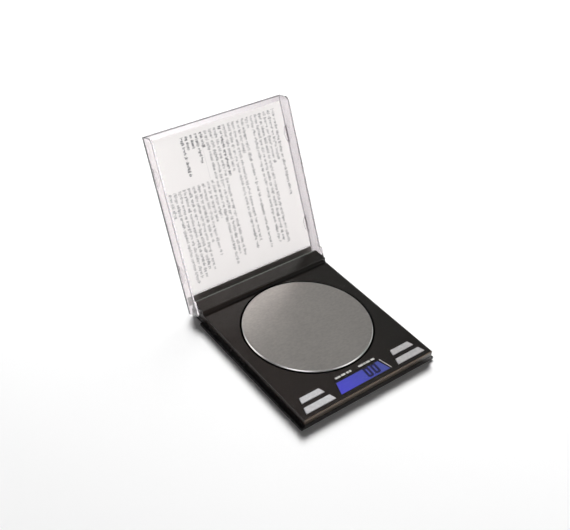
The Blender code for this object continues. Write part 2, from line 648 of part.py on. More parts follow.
# ---------------------------------------------------------------- weighing parts
def make_weighing_parts():
    """Pan, carrier, load cell and gauge pads."""
    rim = arc((PAN_RADIUS - PAN_EDGE, PAN_TOP - PAN_EDGE), PAN_EDGE, 90, 0, 4)
    inside = PAN_RADIUS - PAN_THICKNESS
    profile = [(0, PAN_TOP)] + rim + [(PAN_RADIUS, PAN_TOP - PAN_LIP), (inside, PAN_TOP - PAN_LIP),
                                      (inside, PAN_TOP - PAN_THICKNESS), (0, PAN_TOP - PAN_THICKNESS)]
    turned("weighing_pan", profile, 96, STEEL, (0, PAN_Y, 0))

    carrier = rod("pan_carrier", (0, PAN_Y), CARRIER_RADIUS, CARRIER_BOTTOM, CARRIER_TOP, CARRIER_GREY,
                  sides=64)
    boss = cutter_box("carrier_boss", (LOAD_SCREW_X[0] - LOAD_CELL_END, PAN_Y - LOAD_CELL_WIDTH / 2,
                                       LOAD_CELL_TOP + GAP),
                      (LOAD_CELL_LENGTH / 2, PAN_Y + LOAD_CELL_WIDTH / 2, CARRIER_BOTTOM + ROOT))
    join(carrier, boss)
    for offset in LOAD_SCREW_X:
        cut(carrier, cutter_rod("carrier_hole", (offset, PAN_Y), SCREW_HOLE, 0, CARRIER_TOP + PAST,
                                sides=16))
        cut(carrier, cutter_rod("carrier_counterbore", (offset, PAN_Y), CELL_COUNTERBORE[0],
                                CARRIER_SEAT, CARRIER_TOP + PAST, sides=20))

    load_cell = box("load_cell", (-LOAD_CELL_LENGTH / 2, PAN_Y - LOAD_CELL_WIDTH / 2, LOAD_CELL_BOTTOM),
                    (LOAD_CELL_LENGTH / 2, PAN_Y + LOAD_CELL_WIDTH / 2, LOAD_CELL_TOP), ALUMINIUM)
    height = (LOAD_CELL_BOTTOM + LOAD_CELL_TOP) / 2
    window = cutter_box("cell_slot", (-SLOT_HALF_LENGTH, PAN_Y - LOAD_CELL_WIDTH, height - SLOT_HALF_HEIGHT),
                        (SLOT_HALF_LENGTH, PAN_Y + LOAD_CELL_WIDTH, height + SLOT_HALF_HEIGHT))
    cut(load_cell, window)
    for side in (-1, 1):
        slot_end = side * SLOT_HALF_LENGTH
        relief = cutter_box("cell_relief",
                            (slot_end - RELIEF_HALF, PAN_Y - LOAD_CELL_WIDTH, height - RELIEF_HALF),
                            (slot_end + RELIEF_HALF, PAN_Y + LOAD_CELL_WIDTH, height + RELIEF_HALF))
        bevel(relief, RELIEF_ROUNDING)
        cut(load_cell, relief)
        for offset in LOAD_SCREW_X:
            cut(load_cell, cutter_rod("cell_hole", (side * offset, PAN_Y), SCREW_HOLE, 0, COVER_TOP,
                                      sides=16))
    low = (-GAUGE_HALF_LENGTH, PAN_Y - GAUGE_HALF_WIDTH)
    high = (GAUGE_HALF_LENGTH, PAN_Y + GAUGE_HALF_WIDTH)
    top_face = LOAD_CELL_TOP + GAP
    bottom_face = LOAD_CELL_BOTTOM - GAP
    box("strain_gauge_top", (*low, top_face), (*high, top_face + GAUGE_THICKNESS), GAUGE_WHITE)
    box("strain_gauge_bottom", (*low, bottom_face - GAUGE_THICKNESS), (*high, bottom_face), GAUGE_WHITE)


# ---------------------------------------------------------------- electronics
def make_electronics():
    """Board, controller, display stack and its window."""
    board = box("main_board", (-BOARD_HALF_WIDTH, BOARD_FRONT, BOARD_BOTTOM),
                (BOARD_HALF_WIDTH, BOARD_REAR, BOARD_TOP), BOARD_GREEN)
    for side in (-1, 1):
        cut(board, cutter_rod("board_hole", (side * BOARD_SCREW[0], BOARD_SCREW[1]), BOARD_HOLE_RADIUS,
                              0, COVER_TOP, sides=16))
    box("controller_chip", CHIP_LOW, CHIP_HIGH, CHIP_BLACK)
    low = BOARD_TOP + GAP
    high = GLASS_BOTTOM - GAP
    box("display_backlight", (-LIGHT_HALF_WIDTH, LIGHT_SPAN[0], low),
        (LIGHT_HALF_WIDTH, LIGHT_SPAN[1], high), LIGHT_GUIDE)
    box("zebra_strip", (-ZEBRA_HALF_WIDTH, ZEBRA_SPAN[0], low), (ZEBRA_HALF_WIDTH, ZEBRA_SPAN[1], high),
        ZEBRA_GREY)
    box("display_glass", (-GLASS_HALF_WIDTH, GLASS_SPAN[0], GLASS_BOTTOM),
        (GLASS_HALF_WIDTH, GLASS_SPAN[1], GLASS_TOP), DISPLAY_BLUE)
    slab("display_window", display_edges(GAP), WINDOW_SEAT + GAP, COVER_TOP - WINDOW_DROP, CLEAR)


# ---------------------------------------------------------------- power
def make_power():
    """Two cells in line, their contacts, the door under them and the leads."""
    half = BATTERY_BODY / 2
    end_radius = BATTERY_RADIUS - BATTERY_EDGE
    profile = [(0, half + BATTERY_NUB), (BATTERY_NUB_RADIUS, half + BATTERY_NUB),
               (BATTERY_NUB_RADIUS, half), (end_radius, half), (BATTERY_RADIUS, half - BATTERY_EDGE),
               (BATTERY_RADIUS, BATTERY_EDGE - half), (end_radius, -half), (0, -half)]
    pitch = BATTERY_BODY + BATTERY_NUB + GAP
    for name, side in (("left", -1), ("right", 1)):
        cell = turned("battery_cell_" + name, profile, 28, BATTERY_JACKET,
                      (side * pitch / 2, BATTERY_Y, BATTERY_Z))
        cell.rotation_euler = (0, -math.pi / 2, 0)
    reach = pitch + BATTERY_NUB
    box("contact_plate",
        (-reach - CONTACT_HALF_THICKNESS, BATTERY_Y - CONTACT_HALF_WIDTH, CONTACT_SPAN[0]),
        (-reach + CONTACT_HALF_THICKNESS, BATTERY_Y + CONTACT_HALF_WIDTH, CONTACT_SPAN[1]), SCREW_STEEL)
    start = pitch - BATTERY_NUB / 2 + GAP * 2
    steps_per_turn = 12
    last = int(SPRING_TURNS * steps_per_turn)
    points = []
    for index in range(last + 1):
        angle = 2 * math.pi * index / steps_per_turn
        along = index / last
        radius = SPRING_RADII[0] + (SPRING_RADII[1] - SPRING_RADII[0]) * along
        points.append((start + SPRING_LENGTH * along, BATTERY_Y + radius * math.cos(angle),
                       BATTERY_Z + radius * math.sin(angle)))
    wire("contact_spring", points, SPRING_WIRE, SCREW_STEEL)

    door = box("battery_door", (-DOOR_HALF_LENGTH, DOOR_FRONT, TRAY_BOTTOM),
               (DOOR_HALF_LENGTH, DOOR_REAR, TRAY_BOTTOM + DOOR_THICKNESS), TRAY_BLACK,
               parent=DOOR_PIVOT, shift=DOOR_SHIFT)
    for side in (-1, 0, 1):
        grip_x = side * GRIP_PITCH
        cut(door, cutter_box("door_grip", (grip_x - GRIP_HALF_WIDTH, GRIP_SPAN[0], 0),
                             (grip_x + GRIP_HALF_WIDTH, GRIP_SPAN[1], TRAY_BOTTOM + GRIP_DEPTH)))

    red = [(-reach - LEAD_RADIUS * 2, BATTERY_Y, 0.0070), (-0.0490, BATTERY_Y - 0.0015, 0.0060),
           (-NOTCH_X, 0.1300, 0.0055), (-NOTCH_X, 0.1240, 0.0052), (-0.0490, 0.1100, 0.0040),
           (-0.0520, 0.0750, 0.0036), (-0.0500, 0.0450, 0.0036), (-0.0460, 0.0300, 0.0042),
           (-0.0450, BOARD_REAR + 0.0006, 0.0045)]
    black = [(-x, y, z) for x, y, z in red]
    black[0] = (start + SPRING_LENGTH + LEAD_RADIUS * 2, BATTERY_Y, 0.0070)
    black[1] = (0.0500, BATTERY_Y - 0.0010, 0.0060)
    wire("battery_lead_red", smooth_route(red, 36), LEAD_RADIUS, LEAD_RED)
    wire("battery_lead_black", smooth_route(black, 36), LEAD_RADIUS, LEAD_BLACK)
    signal = [(-0.0030, PAN_Y - LOAD_CELL_WIDTH / 2 - 0.0006, 0.0052), (-0.0040, 0.0640, 0.0040),
              (-0.0090, 0.0500, 0.0034), (-0.0060, 0.0360, 0.0036), (-0.0100, BOARD_REAR + 0.0009, 0.0045)]
    wire("load_cell_lead", smooth_route(signal, 24), SIGNAL_RADIUS, LEAD_GREY)


# ---------------------------------------------------------------- lid
def lid_wall_outline():
    """Side wall seen from the side: rounded front end, long straight wall, taller hinge arm."""
    top = LID_TOP - LID_PANEL / 2
    wall_bottom = FLANGE_TOP + GAP
    round_y = LID_FRONT + LID_WALL_LEAN + LID_WALL_CORNER
    points = [(LID_FRONT + GAP, top)]
    points += arc((round_y, wall_bottom + LID_WALL_CORNER), LID_WALL_CORNER, 180, 270, 6)
    points += [(ARM_FRONT, wall_bottom)]
    points += arc((ARM_FRONT + ARM_FRONT_CORNER, ARM_BOTTOM + ARM_FRONT_CORNER), ARM_FRONT_CORNER,
                  180, 270, 3)
    points += arc((CASE_DEPTH - ARM_CORNER, ARM_BOTTOM + ARM_CORNER), ARM_CORNER, 270, 360, 6)
    points += [(CASE_DEPTH, top)]
    return points


def make_lid():
    """Clear lid with side walls, stub pins and sheet-holding tabs, built closed on its pivot."""
    on_pivot = {"parent": LID_PIVOT, "shift": PIVOT_SHIFT}
    half = CASE_WIDTH / 2
    lid = box("lid", (-half, LID_FRONT, LID_INSIDE), (half, CASE_DEPTH, LID_TOP), CLEAR, **on_pivot)
    bow = (TAB_REACH ** 2 + (TAB_LENGTH / 2) ** 2) / (2 * TAB_REACH)
    swing = math.degrees(math.asin(TAB_LENGTH / 2 / bow))
    for side in (-1, 1):
        low, high = sorted((side * half, side * (half - LID_WALL)))
        wall = profile_slab("lid_wall", lid_wall_outline(), low, high, cutter=True, **on_pivot)
        low, high = sorted((side * (half - LID_WALL / 2), side * (HALF_BODY - PIN_REACH)))
        pin = cutter_rod("stub_pin", (PIN_Y, PIN_Z), PIN_RADIUS, low, high, axis="X", sides=32, **on_pivot)
        join(lid, wall, pin)
        for middle in TAB_PLACES:
            edge = half - LID_WALL
            curve = arc((edge - TAB_REACH + bow, middle), bow, 180 - swing, 180 + swing, 8)
            outline = curve + [(edge + LID_WALL / 2, middle - TAB_LENGTH / 2),
                               (edge + LID_WALL / 2, middle + TAB_LENGTH / 2)]
            outline = [(side * x, y) for x, y in outline]
            tab = slab("sheet_tab", outline, TAB_TOP - TAB_THICKNESS, TAB_TOP, cutter=True, **on_pivot)
            join(lid, tab)
    sheet_top = LID_INSIDE - GAP
    box("instruction_sheet", (-SHEET_HALF_WIDTH, SHEET_FRONT, sheet_top - SHEET_THICKNESS),
        (SHEET_HALF_WIDTH, SHEET_REAR, sheet_top), PAPER, **on_pivot)
    box("lid_dark_band", (-SHEET_HALF_WIDTH - GAP, BAND_FRONT, sheet_top - BAND_THICKNESS),
        (SHEET_HALF_WIDTH + GAP, BAND_REAR, sheet_top), BAND_DARK, **on_pivot)


make_base_tray()
make_feet()
make_screws()
make_top_cover()
make_keys()
make_weighing_parts()
make_electronics()
make_power()
make_lid()
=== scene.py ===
"""Looks for the folding digital gram scale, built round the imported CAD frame.

Lengths are in metres.  Case coordinates are the frame's own with Y counted from the cover's front
face.  Pieces of the lid are laid out on the shut lid and swung open about its hinge.
"""
import json
import math
import random

import bmesh
import bpy
from mathutils import Matrix, Vector

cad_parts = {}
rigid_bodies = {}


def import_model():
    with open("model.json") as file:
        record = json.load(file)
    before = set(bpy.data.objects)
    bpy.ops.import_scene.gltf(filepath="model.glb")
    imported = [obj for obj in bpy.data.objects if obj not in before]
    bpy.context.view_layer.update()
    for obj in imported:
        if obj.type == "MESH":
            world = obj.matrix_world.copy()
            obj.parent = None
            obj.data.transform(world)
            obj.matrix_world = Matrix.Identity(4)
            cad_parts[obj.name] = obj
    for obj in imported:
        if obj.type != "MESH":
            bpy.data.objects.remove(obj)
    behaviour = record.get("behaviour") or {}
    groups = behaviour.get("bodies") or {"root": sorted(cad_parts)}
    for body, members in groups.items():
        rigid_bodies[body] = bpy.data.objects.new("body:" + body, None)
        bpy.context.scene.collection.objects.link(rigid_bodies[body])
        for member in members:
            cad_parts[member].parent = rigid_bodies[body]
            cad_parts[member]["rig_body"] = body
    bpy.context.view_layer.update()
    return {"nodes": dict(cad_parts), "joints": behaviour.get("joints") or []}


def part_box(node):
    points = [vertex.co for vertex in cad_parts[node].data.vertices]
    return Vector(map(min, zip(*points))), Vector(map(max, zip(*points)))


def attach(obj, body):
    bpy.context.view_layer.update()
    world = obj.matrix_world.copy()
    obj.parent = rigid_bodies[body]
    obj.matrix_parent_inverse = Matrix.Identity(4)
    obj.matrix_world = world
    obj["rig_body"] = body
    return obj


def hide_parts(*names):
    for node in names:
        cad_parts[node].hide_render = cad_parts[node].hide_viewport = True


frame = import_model()
NODES = frame["nodes"]
JOINTS = {joint["name"]: joint for joint in frame["joints"]}

# ---------------------------------------------------------------- places read from the frame
COVER_LOW, COVER_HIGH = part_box("top_cover")
FRONT = COVER_LOW.y
PIVOT = Vector(JOINTS["lid_hinge"]["pos_m"])
OPEN_ANGLE = math.radians(-JOINTS["lid_hinge"]["range_deg"][0])
CASE = Matrix.Translation((0, FRONT, 0))
LID = (Matrix.Translation(PIVOT) @ Matrix.Rotation(-OPEN_ANGLE, 4, "X")
       @ Matrix.Translation(-PIVOT) @ CASE)


def shut_box(node):
    """Lowest and highest corners of a lid node on the shut lid, in case coordinates."""
    back = LID.inverted()
    corners = [back @ vertex.co for vertex in NODES[node].data.vertices]
    low = Vector([min(corner[axis] for corner in corners) for axis in range(3)])
    high = Vector([max(corner[axis] for corner in corners) for axis in range(3)])
    return low, high


def case_box(node):
    """Lowest and highest corners of a node in case coordinates."""
    low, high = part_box(node)
    return CASE.inverted() @ low, CASE.inverted() @ high


def round_node(node):
    """A round node's lowest and highest corners, middle and radius in case coordinates."""
    low, high = case_box(node)
    return low, high, ((low.x + high.x) / 2, (low.y + high.y) / 2), (high.x - low.x) / 2


SHEET_LOW, SHEET_HIGH = shut_box("instruction_sheet")
LID_LOW, LID_HIGH = shut_box("lid")
LCD_LOW, LCD_HIGH = case_box("display_glass")
PAN_LOW, PAN_HIGH, PAN_CENTRE, PAN_RADIUS = round_node("weighing_pan")
PAN_PROUD = 0.0010               # the pan's top stands this far above the cover
COVER_TOP = PAN_HIGH.z - PAN_PROUD
COVER_REAR = COVER_HIGH.y - FRONT


# ---------------------------------------------------------------- materials
# Noise scales are in features per metre: 35 gives clouds of 3 cm, 3200 a grain of 0.3 mm.
# Bump depths are in metres.
CLOUDS = 35.0
RUBBING = 6.0                    # rub marks are this much finer than the clouds
MOULD_GRAIN = 3200.0
MOULD_DEPTH = 0.00001
POLISHED_DEPTH = 0.000002
WAVES = 70.0                     # the gentle unevenness of clear mouldings
WAVE_DEPTH = 0.00001
CLEAR_IOR = 1.49
WHITE = (1.0, 1.0, 1.0)
MIX_SHARE, MIX_ONE, MIX_TWO, MIX_RESULT = 0, 6, 7, 2   # sockets of a mix node set to colours


def toned(colour, factor, lift=0.0):
    """A colour made lighter or darker, kept within 1."""
    return [min(1.0, part * factor + lift) for part in colour]


class Look:
    """A Principled material with a few helpers for building its pattern."""

    def __init__(self, name, colour, roughness, metallic=0.0):
        self.material = bpy.data.materials.new(name)
        self.material.use_nodes = True
        self.tree = self.material.node_tree
        self.shader = self.tree.nodes["Principled BSDF"]
        self.set("Base Color", (*colour, 1.0))
        self.set("Roughness", roughness)
        self.set("Metallic", metallic)
        self.place = self.node("ShaderNodeTexCoord").outputs["Object"]

    def node(self, kind, **values):
        """A new node with the given inputs or settings."""
        made = self.tree.nodes.new(kind)
        for name, value in values.items():
            if name in made.inputs:
                made.inputs[name].default_value = value
            else:
                setattr(made, name, value)
        return made

    def set(self, name, value):
        """An even value, straight on the shader's socket."""
        self.shader.inputs[name].default_value = value

    def link(self, source, target):
        self.tree.links.new(source, target)

    def feed(self, name, source):
        self.link(source, self.shader.inputs[name])

    def give(self, socket, value):
        """Links a socket to another one, or sets it to a plain value or RGB colour."""
        if isinstance(value, bpy.types.NodeSocket):
            self.link(value, socket)
        elif socket.type == "RGBA":
            socket.default_value = (*value, 1.0)
        else:
            socket.default_value = value

    def mapped(self, **values):
        """Object coordinates moved, turned or scaled."""
        mapping = self.node("ShaderNodeMapping", **values)
        self.link(self.place, mapping.inputs["Vector"])
        return mapping.outputs["Vector"]

    def axes(self, vector=None):
        """The X, Y and Z parts of a vector, by default of the object coordinates."""
        made = self.node("ShaderNodeSeparateXYZ")
        self.link(vector or self.place, made.inputs["Vector"])
        return made.outputs

    def noise(self, scale, detail=3.0, vector=None):
        made = self.node("ShaderNodeTexNoise", Scale=scale, Detail=detail)
        self.link(vector or self.place, made.inputs["Vector"])
        return made.outputs["Fac"]

    def ramp(self, source, low, high, start=0.3, end=0.7):
        """Maps a value to colours between two stops."""
        made = self.node("ShaderNodeValToRGB")
        for element, position, colour in zip(made.color_ramp.elements, (start, end), (low, high)):
            element.position = position
            element.color = (*colour, 1.0)
        self.link(source, made.inputs["Fac"])
        return made.outputs["Color"]

    def spread(self, source, low, high, start=0.3, end=0.7):
        """Maps a value to a range."""
        made = self.node("ShaderNodeMapRange")
        for name, value in (("From Min", start), ("From Max", end), ("To Min", low), ("To Max", high)):
            made.inputs[name].default_value = value
        self.link(source, made.inputs["Value"])
        return made.outputs["Result"]

    def rise(self, source, start, end):
        """From 0 at start to 1 at end."""
        return self.spread(source, 0.0, 1.0, start, end)

    def fall(self, source, start, end):
        """From 1 at start to 0 at end."""
        return self.spread(source, 1.0, 0.0, start, end)

    def merge(self, one, two, share=0.5):
        """Mixes two values."""
        made = self.node("ShaderNodeMix", Factor=share)
        self.link(one, made.inputs["A"])
        self.link(two, made.inputs["B"])
        return made.outputs["Result"]

    def tint(self, share, one, two, kind="MIX"):
        """Mixes two colours; each part is a socket or a plain value."""
        made = self.node("ShaderNodeMix", data_type="RGBA", blend_type=kind)
        for index, value in ((MIX_SHARE, share), (MIX_ONE, one), (MIX_TWO, two)):
            self.give(made.inputs[index], value)
        return made.outputs[MIX_RESULT]

    def math(self, operation, *values):
        """Arithmetic on one or two values, each a socket or a number."""
        made = self.node("ShaderNodeMath", operation=operation)
        for socket, value in zip(made.inputs, values):
            self.give(socket, value)
        return made.outputs["Value"]

    def bump(self, height, distance):
        made = self.node("ShaderNodeBump", Distance=distance, Strength=1.0)
        self.link(height, made.inputs["Height"])
        self.feed("Normal", made.outputs["Normal"])


def plastic(name, dark, light, rough, grain=MOULD_GRAIN, depth=MOULD_DEPTH, cloud=CLOUDS):
    """Moulded plastic: fine eroded grain, faint clouding and rub marks."""
    look = Look(name, dark, rough[0])
    look.feed("Base Color", look.ramp(look.noise(cloud, 4.0), dark, light))
    look.feed("Roughness", look.spread(look.noise(cloud * RUBBING, 5.0), *rough))
    look.bump(look.noise(grain, 2.0), depth)
    return look.material


WALL_DEPTH = (0.0004, 0.0010)    # the painted highlight along the top of the front wall fades out between these depths
COVER_SHADE_SPAN = (-0.05, 0.045)       # painted shade: the cover grows deeper black from left to right
COVER_SHADE_TONE = (0.42, 0.52, 0.47)


def cover_plastic(name, dark, light, highlight_tone, rough):
    """The cover's black plastic, with a painted brown highlight along the top of its front wall and
    painted shade deepening it from left to right.
    """
    look = Look(name, dark, rough[0])
    clouding = look.noise(CLOUDS, 4.0)
    across, along, height = look.axes()
    wall = look.fall(along, *(FRONT + depth for depth in WALL_DEPTH))
    height = look.rise(height, COVER_LOW.z, COVER_TOP)
    patchy = look.spread(look.noise(160.0, 3.0), 0.75, 1.0)
    share = look.math("MULTIPLY", wall, look.math("POWER", height, height))
    share = look.math("MULTIPLY", look.math("MULTIPLY", share, patchy), height)
    black = look.tint(1.0, look.ramp(clouding, dark, light),
                      look.ramp(look.rise(across, *COVER_SHADE_SPAN), WHITE, COVER_SHADE_TONE, 0.0, 1.0), "MULTIPLY")
    look.feed("Base Color", look.tint(share, black, highlight_tone))
    look.feed("Roughness", look.spread(look.noise(CLOUDS * RUBBING, 5.0), *rough))
    look.bump(look.noise(MOULD_GRAIN, 2.0), POLISHED_DEPTH)
    return look.material


KEY_SHADE_SPAN = (-0.02, 0.02)     # painted shade: the paint grows darker from the left to the right pair
KEY_SHADE_TONE = (0.76, 0.75, 0.74)


def key_paint(name, dark, light, rough):
    """Silver paint on the keys, speckled, with painted shade darkening the right-hand pair."""
    look = Look(name, dark, rough[0])
    speckle = look.merge(look.noise(420.0, 4.0), look.noise(1500.0, 2.0), 0.4)
    shaded_right = look.ramp(look.rise(look.axes()["X"], *KEY_SHADE_SPAN), WHITE, KEY_SHADE_TONE)
    paint = look.ramp(speckle, dark, light, 0.35, 0.65)
    look.feed("Base Color", look.tint(1.0, paint, shaded_right, "MULTIPLY"))
    look.feed("Roughness", look.spread(look.noise(900.0, 3.0), *rough))
    look.bump(look.noise(2200.0, 2.0), MOULD_DEPTH)
    return look.material


def clear_plastic(name, tint, rough):
    """Clear moulded plastic with faint smears and a gentle waviness."""
    look = Look(name, tint, rough[0])
    look.set("Transmission Weight", 1.0)
    look.set("IOR", CLEAR_IOR)
    look.feed("Roughness", look.spread(look.noise(40.0, 3.0), *rough))
    look.feed("Base Color", look.ramp(look.noise(18.0), tint, toned(tint, 1.04)))
    look.bump(look.noise(WAVES, 2.0), WAVE_DEPTH)
    return look.material


WALL_FREE, WALL_JOINED = (0.95, 0.92, 0.935), (0.80, 0.765, 0.78)   # walls, free edge and panel end
RIGHT_SIDE_SHADE = (0.66, 0.645, 0.65)      # painted shade: how much darker the right side is
BEHIND_SHEET = (0.84, 0.83, 0.84)
# painted shade: the lid's outer corners next to the panel are darkened towards this colour
CORNER_SHADE_TONE = (0.10, 0.095, 0.10)
SHEET_MARGIN = 0.0010            # the clear area ends this far inside the sheet's edge
CORNER_IN, CORNER_OUT = 0.0013, 0.0008   # distances from the lid's outside between which the painted shade darkens it
CORNER_DEEP, CORNER_TOP = 0.0016, 0.0009


def lid_plastic(name):
    """The lid's clear plastic: the walls darken towards the panel, the right side is darker with
    painted shade, and the outer corners are darkest with painted shade.
    """
    look = Look(name, (0.75, 0.73, 0.74), 0.03)
    look.set("Transmission Weight", 1.0)
    look.set("IOR", CLEAR_IOR)
    look.feed("Roughness", look.spread(look.noise(40.0, 3.0), 0.02, 0.06))
    back = LID.inverted()
    across, along, height = look.axes(look.mapped(Location=back.translation, Rotation=back.to_euler()))
    walls = look.ramp(look.rise(height, 0.0, LID_HIGH.z), WALL_FREE, WALL_JOINED, 0.1, 0.93)
    right_side_shade = look.ramp(look.rise(across, LID_LOW.x, LID_HIGH.x), WHITE, RIGHT_SIDE_SHADE, 0.1, 0.9)
    walls_shaded = look.tint(1.0, walls, right_side_shade, "MULTIPLY")
    aside = look.math("ABSOLUTE", across)
    outside = look.math("MAXIMUM", look.rise(aside, SHEET_HIGH.x - SHEET_MARGIN, SHEET_HIGH.x),
                        look.fall(along, SHEET_LOW.y, SHEET_LOW.y + SHEET_MARGIN))
    panel = look.tint(outside, BEHIND_SHEET, walls_shaded)
    corner = look.math("MAXIMUM", look.rise(aside, LID_HIGH.x - CORNER_IN, LID_HIGH.x - CORNER_OUT),
                       look.fall(along, LID_LOW.y + CORNER_OUT, LID_LOW.y + CORNER_IN))
    near_panel = look.rise(height, LID_HIGH.z - CORNER_DEEP, LID_HIGH.z - CORNER_TOP)
    dark = look.math("MULTIPLY", corner, near_panel)
    look.feed("Base Color", look.tint(dark, panel, CORNER_SHADE_TONE))
    look.bump(look.noise(WAVES, 2.0), WAVE_DEPTH)
    return look.material


def brushed(name, colour, rough, across, depth, metallic=1.0):
    """Fine straight lines along X, as brushing on metal or as stripes in rubber."""
    look = Look(name, colour, rough[0], metallic)
    lines = look.noise(across, 3.0, look.mapped(Scale=(0.02, 1.0, 1.0)))
    shade = look.merge(lines, look.noise(45.0, 3.0), 0.35)
    look.feed("Base Color", look.ramp(shade, toned(colour, 0.94), toned(colour, 1.06)))
    look.feed("Roughness", look.spread(lines, *rough))
    look.bump(lines, depth)
    return look.material


def satin_steel(name, colour, rough):
    """Satin stainless sheet: even fine grain, hardly any direction, faint handling marks."""
    look = Look(name, colour, rough[0], 1.0)
    grain = look.noise(620.0, 3.0, look.mapped(Scale=(0.6, 1.0, 1.0)))
    marks = look.noise(55.0, 4.0)
    look.feed("Base Color", look.ramp(look.merge(grain, marks, 0.35), toned(colour, 0.86),
                                      toned(colour, 1.12), 0.25, 0.75))
    look.feed("Roughness", look.spread(marks, *rough))
    look.bump(look.noise(90.0, 2.0), POLISHED_DEPTH)
    return look.material


def paper(name, colour):
    """Uncoated paper: short fibres and faint patches."""
    look = Look(name, colour, 0.75)
    fibres = look.noise(2600.0, 4.0)
    patches = look.noise(30.0, 3.0)
    look.feed("Base Color", look.ramp(look.merge(fibres, patches), toned(colour, 0.965),
                                      toned(colour, 1.02)))
    look.feed("Roughness", look.spread(patches, 0.62, 0.85))
    look.bump(fibres, 0.00002)
    return look.material


def ink(name, colour, rough=0.5, gloss=0.5, glow=None):
    """Printing ink or paint that sits unevenly; glow is the light that it lets through."""
    look = Look(name, colour, rough)
    look.set("Specular IOR Level", gloss)
    uneven = look.noise(1400.0, 4.0)
    look.feed("Base Color", look.ramp(uneven, toned(colour, 0.8), toned(colour, 1.2, 0.01)))
    look.bump(uneven, 0.00001)
    if glow:
        look.set("Emission Color", (*glow, 1.0))
        look.set("Emission Strength", 1.0)
    return look.material


def unlit(name):
    """Deep black that gives back next to nothing, faintly dusty: painted shade."""
    look = Look(name, (0.0008, 0.0007, 0.0007), 0.9)
    look.set("Specular IOR Level", 0.02)
    look.feed("Base Color", look.ramp(look.noise(300.0), (0.0006, 0.0005, 0.0005),
                                      (0.0016, 0.0014, 0.0013)))
    look.bump(look.noise(900.0, 2.0), 0.000003)
    return look.material


LAMP_REACH = 24.0                # the glow fades out over a 24th of a metre
LAMP_CENTRE = (-0.0225, 0.00625)  # the back light's bright corner, in case coordinates


def lit_display(name):
    """Blue back-lit liquid crystal, brightest at the lamp's corner, with a fine cell grid."""
    look = Look(name, (0.008, 0.008, 0.05), 0.35)
    look.set("Specular IOR Level", 0.12)
    centre = (-LAMP_CENTRE[0] * LAMP_REACH, -(FRONT + LAMP_CENTRE[1]) * LAMP_REACH, 0)
    falloff = look.node("ShaderNodeTexGradient", gradient_type="SPHERICAL")
    look.link(look.mapped(Location=centre, Scale=(LAMP_REACH, LAMP_REACH, 0.0)),
              falloff.inputs["Vector"])
    haze = look.noise(220.0, 3.0)
    glow = look.merge(falloff.outputs["Fac"], haze, 0.12)
    look.feed("Emission Color", look.ramp(glow, (0.058, 0.078, 0.33), (0.070, 0.066, 0.62), 0.0, 0.85))
    look.set("Emission Strength", 0.9)
    look.feed("Base Color", look.ramp(haze, (0.006, 0.006, 0.04), (0.010, 0.010, 0.06)))
    look.bump(look.noise(1500.0, 2.0), 0.000003)
    return look.material


def board_green(name):
    """Solder mask with the faint relief of tracks under it."""
    look = Look(name, (0.02, 0.12, 0.05), 0.35)
    tracks = look.node("ShaderNodeTexBrick", Scale=260.0, Color1=(0.016, 0.10, 0.040, 1),
                       Color2=(0.022, 0.13, 0.055, 1), Mortar=(0.05, 0.20, 0.08, 1))
    tracks.inputs["Mortar Size"].default_value = 0.12
    look.link(look.place, tracks.inputs["Vector"])
    look.feed("Base Color", tracks.outputs["Color"])
    look.bump(tracks.outputs["Fac"], 0.00003)
    return look.material


BAND_REPEAT = 0.0224             # half the distance between coppery bands, along X


def battery_wrap(name):
    """Dark printed sleeve with a coppery band at one end of each cell."""
    sleeve = (0.05, 0.05, 0.06)
    look = Look(name, sleeve, 0.3, 0.4)
    stripes = look.math("PINGPONG", look.axes()["X"], BAND_REPEAT)
    look.feed("Base Color", look.ramp(stripes, sleeve, (0.42, 0.20, 0.08), 0.0148, 0.0152))
    look.feed("Roughness", look.spread(look.noise(120.0), 0.22, 0.38))
    return look.material


CLEAR = lid_plastic("clear_polystyrene")
WINDOW = clear_plastic("display_window_clear", (0.93, 0.94, 0.97), (0.02, 0.06))
PAPER = paper("sheet_paper", (0.86, 0.83, 0.82))
INK = ink("sheet_ink", (0.40, 0.39, 0.395))
INK_BOLD = ink("sheet_ink_bold", (0.26, 0.255, 0.26))
# white print for the marks over the display, also used for the painted highlight at the window's right
# end
WHITE_INK_AND_HIGHLIGHT = ink("label_ink_and_highlight", (0.64, 0.63, 0.61))
# the third colour is a painted brown highlight along the top of the cover's front wall
COVER = cover_plastic("cover_black", (0.0098, 0.0062, 0.0048), (0.0130, 0.0085, 0.0066),
                      (0.075, 0.053, 0.037), (0.17, 0.25))
TRAY = plastic("tray_black", (0.005, 0.0045, 0.0045), (0.008, 0.007, 0.007), (0.20, 0.30),
               depth=POLISHED_DEPTH)
# painted light: the band is coloured far lighter than its own dark grey to make up for the shade it
# sits in behind the strip
BAND = plastic("lid_band_painted_light", (0.46, 0.43, 0.41), (0.54, 0.50, 0.475), (0.30, 0.45))
# painted highlight: the bead is coloured far lighter than the cover to draw the light line along the
# strip's rear edge
BEAD = plastic("strip_bead_painted_highlight", (0.085, 0.088, 0.080), (0.11, 0.114, 0.104), (0.32, 0.42))
KEY = key_paint("key_silver_paint", (0.40, 0.396, 0.404), (0.56, 0.55, 0.56), (0.34, 0.48))
PAN_STEEL = satin_steel("pan_steel", (0.73, 0.695, 0.655), (0.28, 0.30))
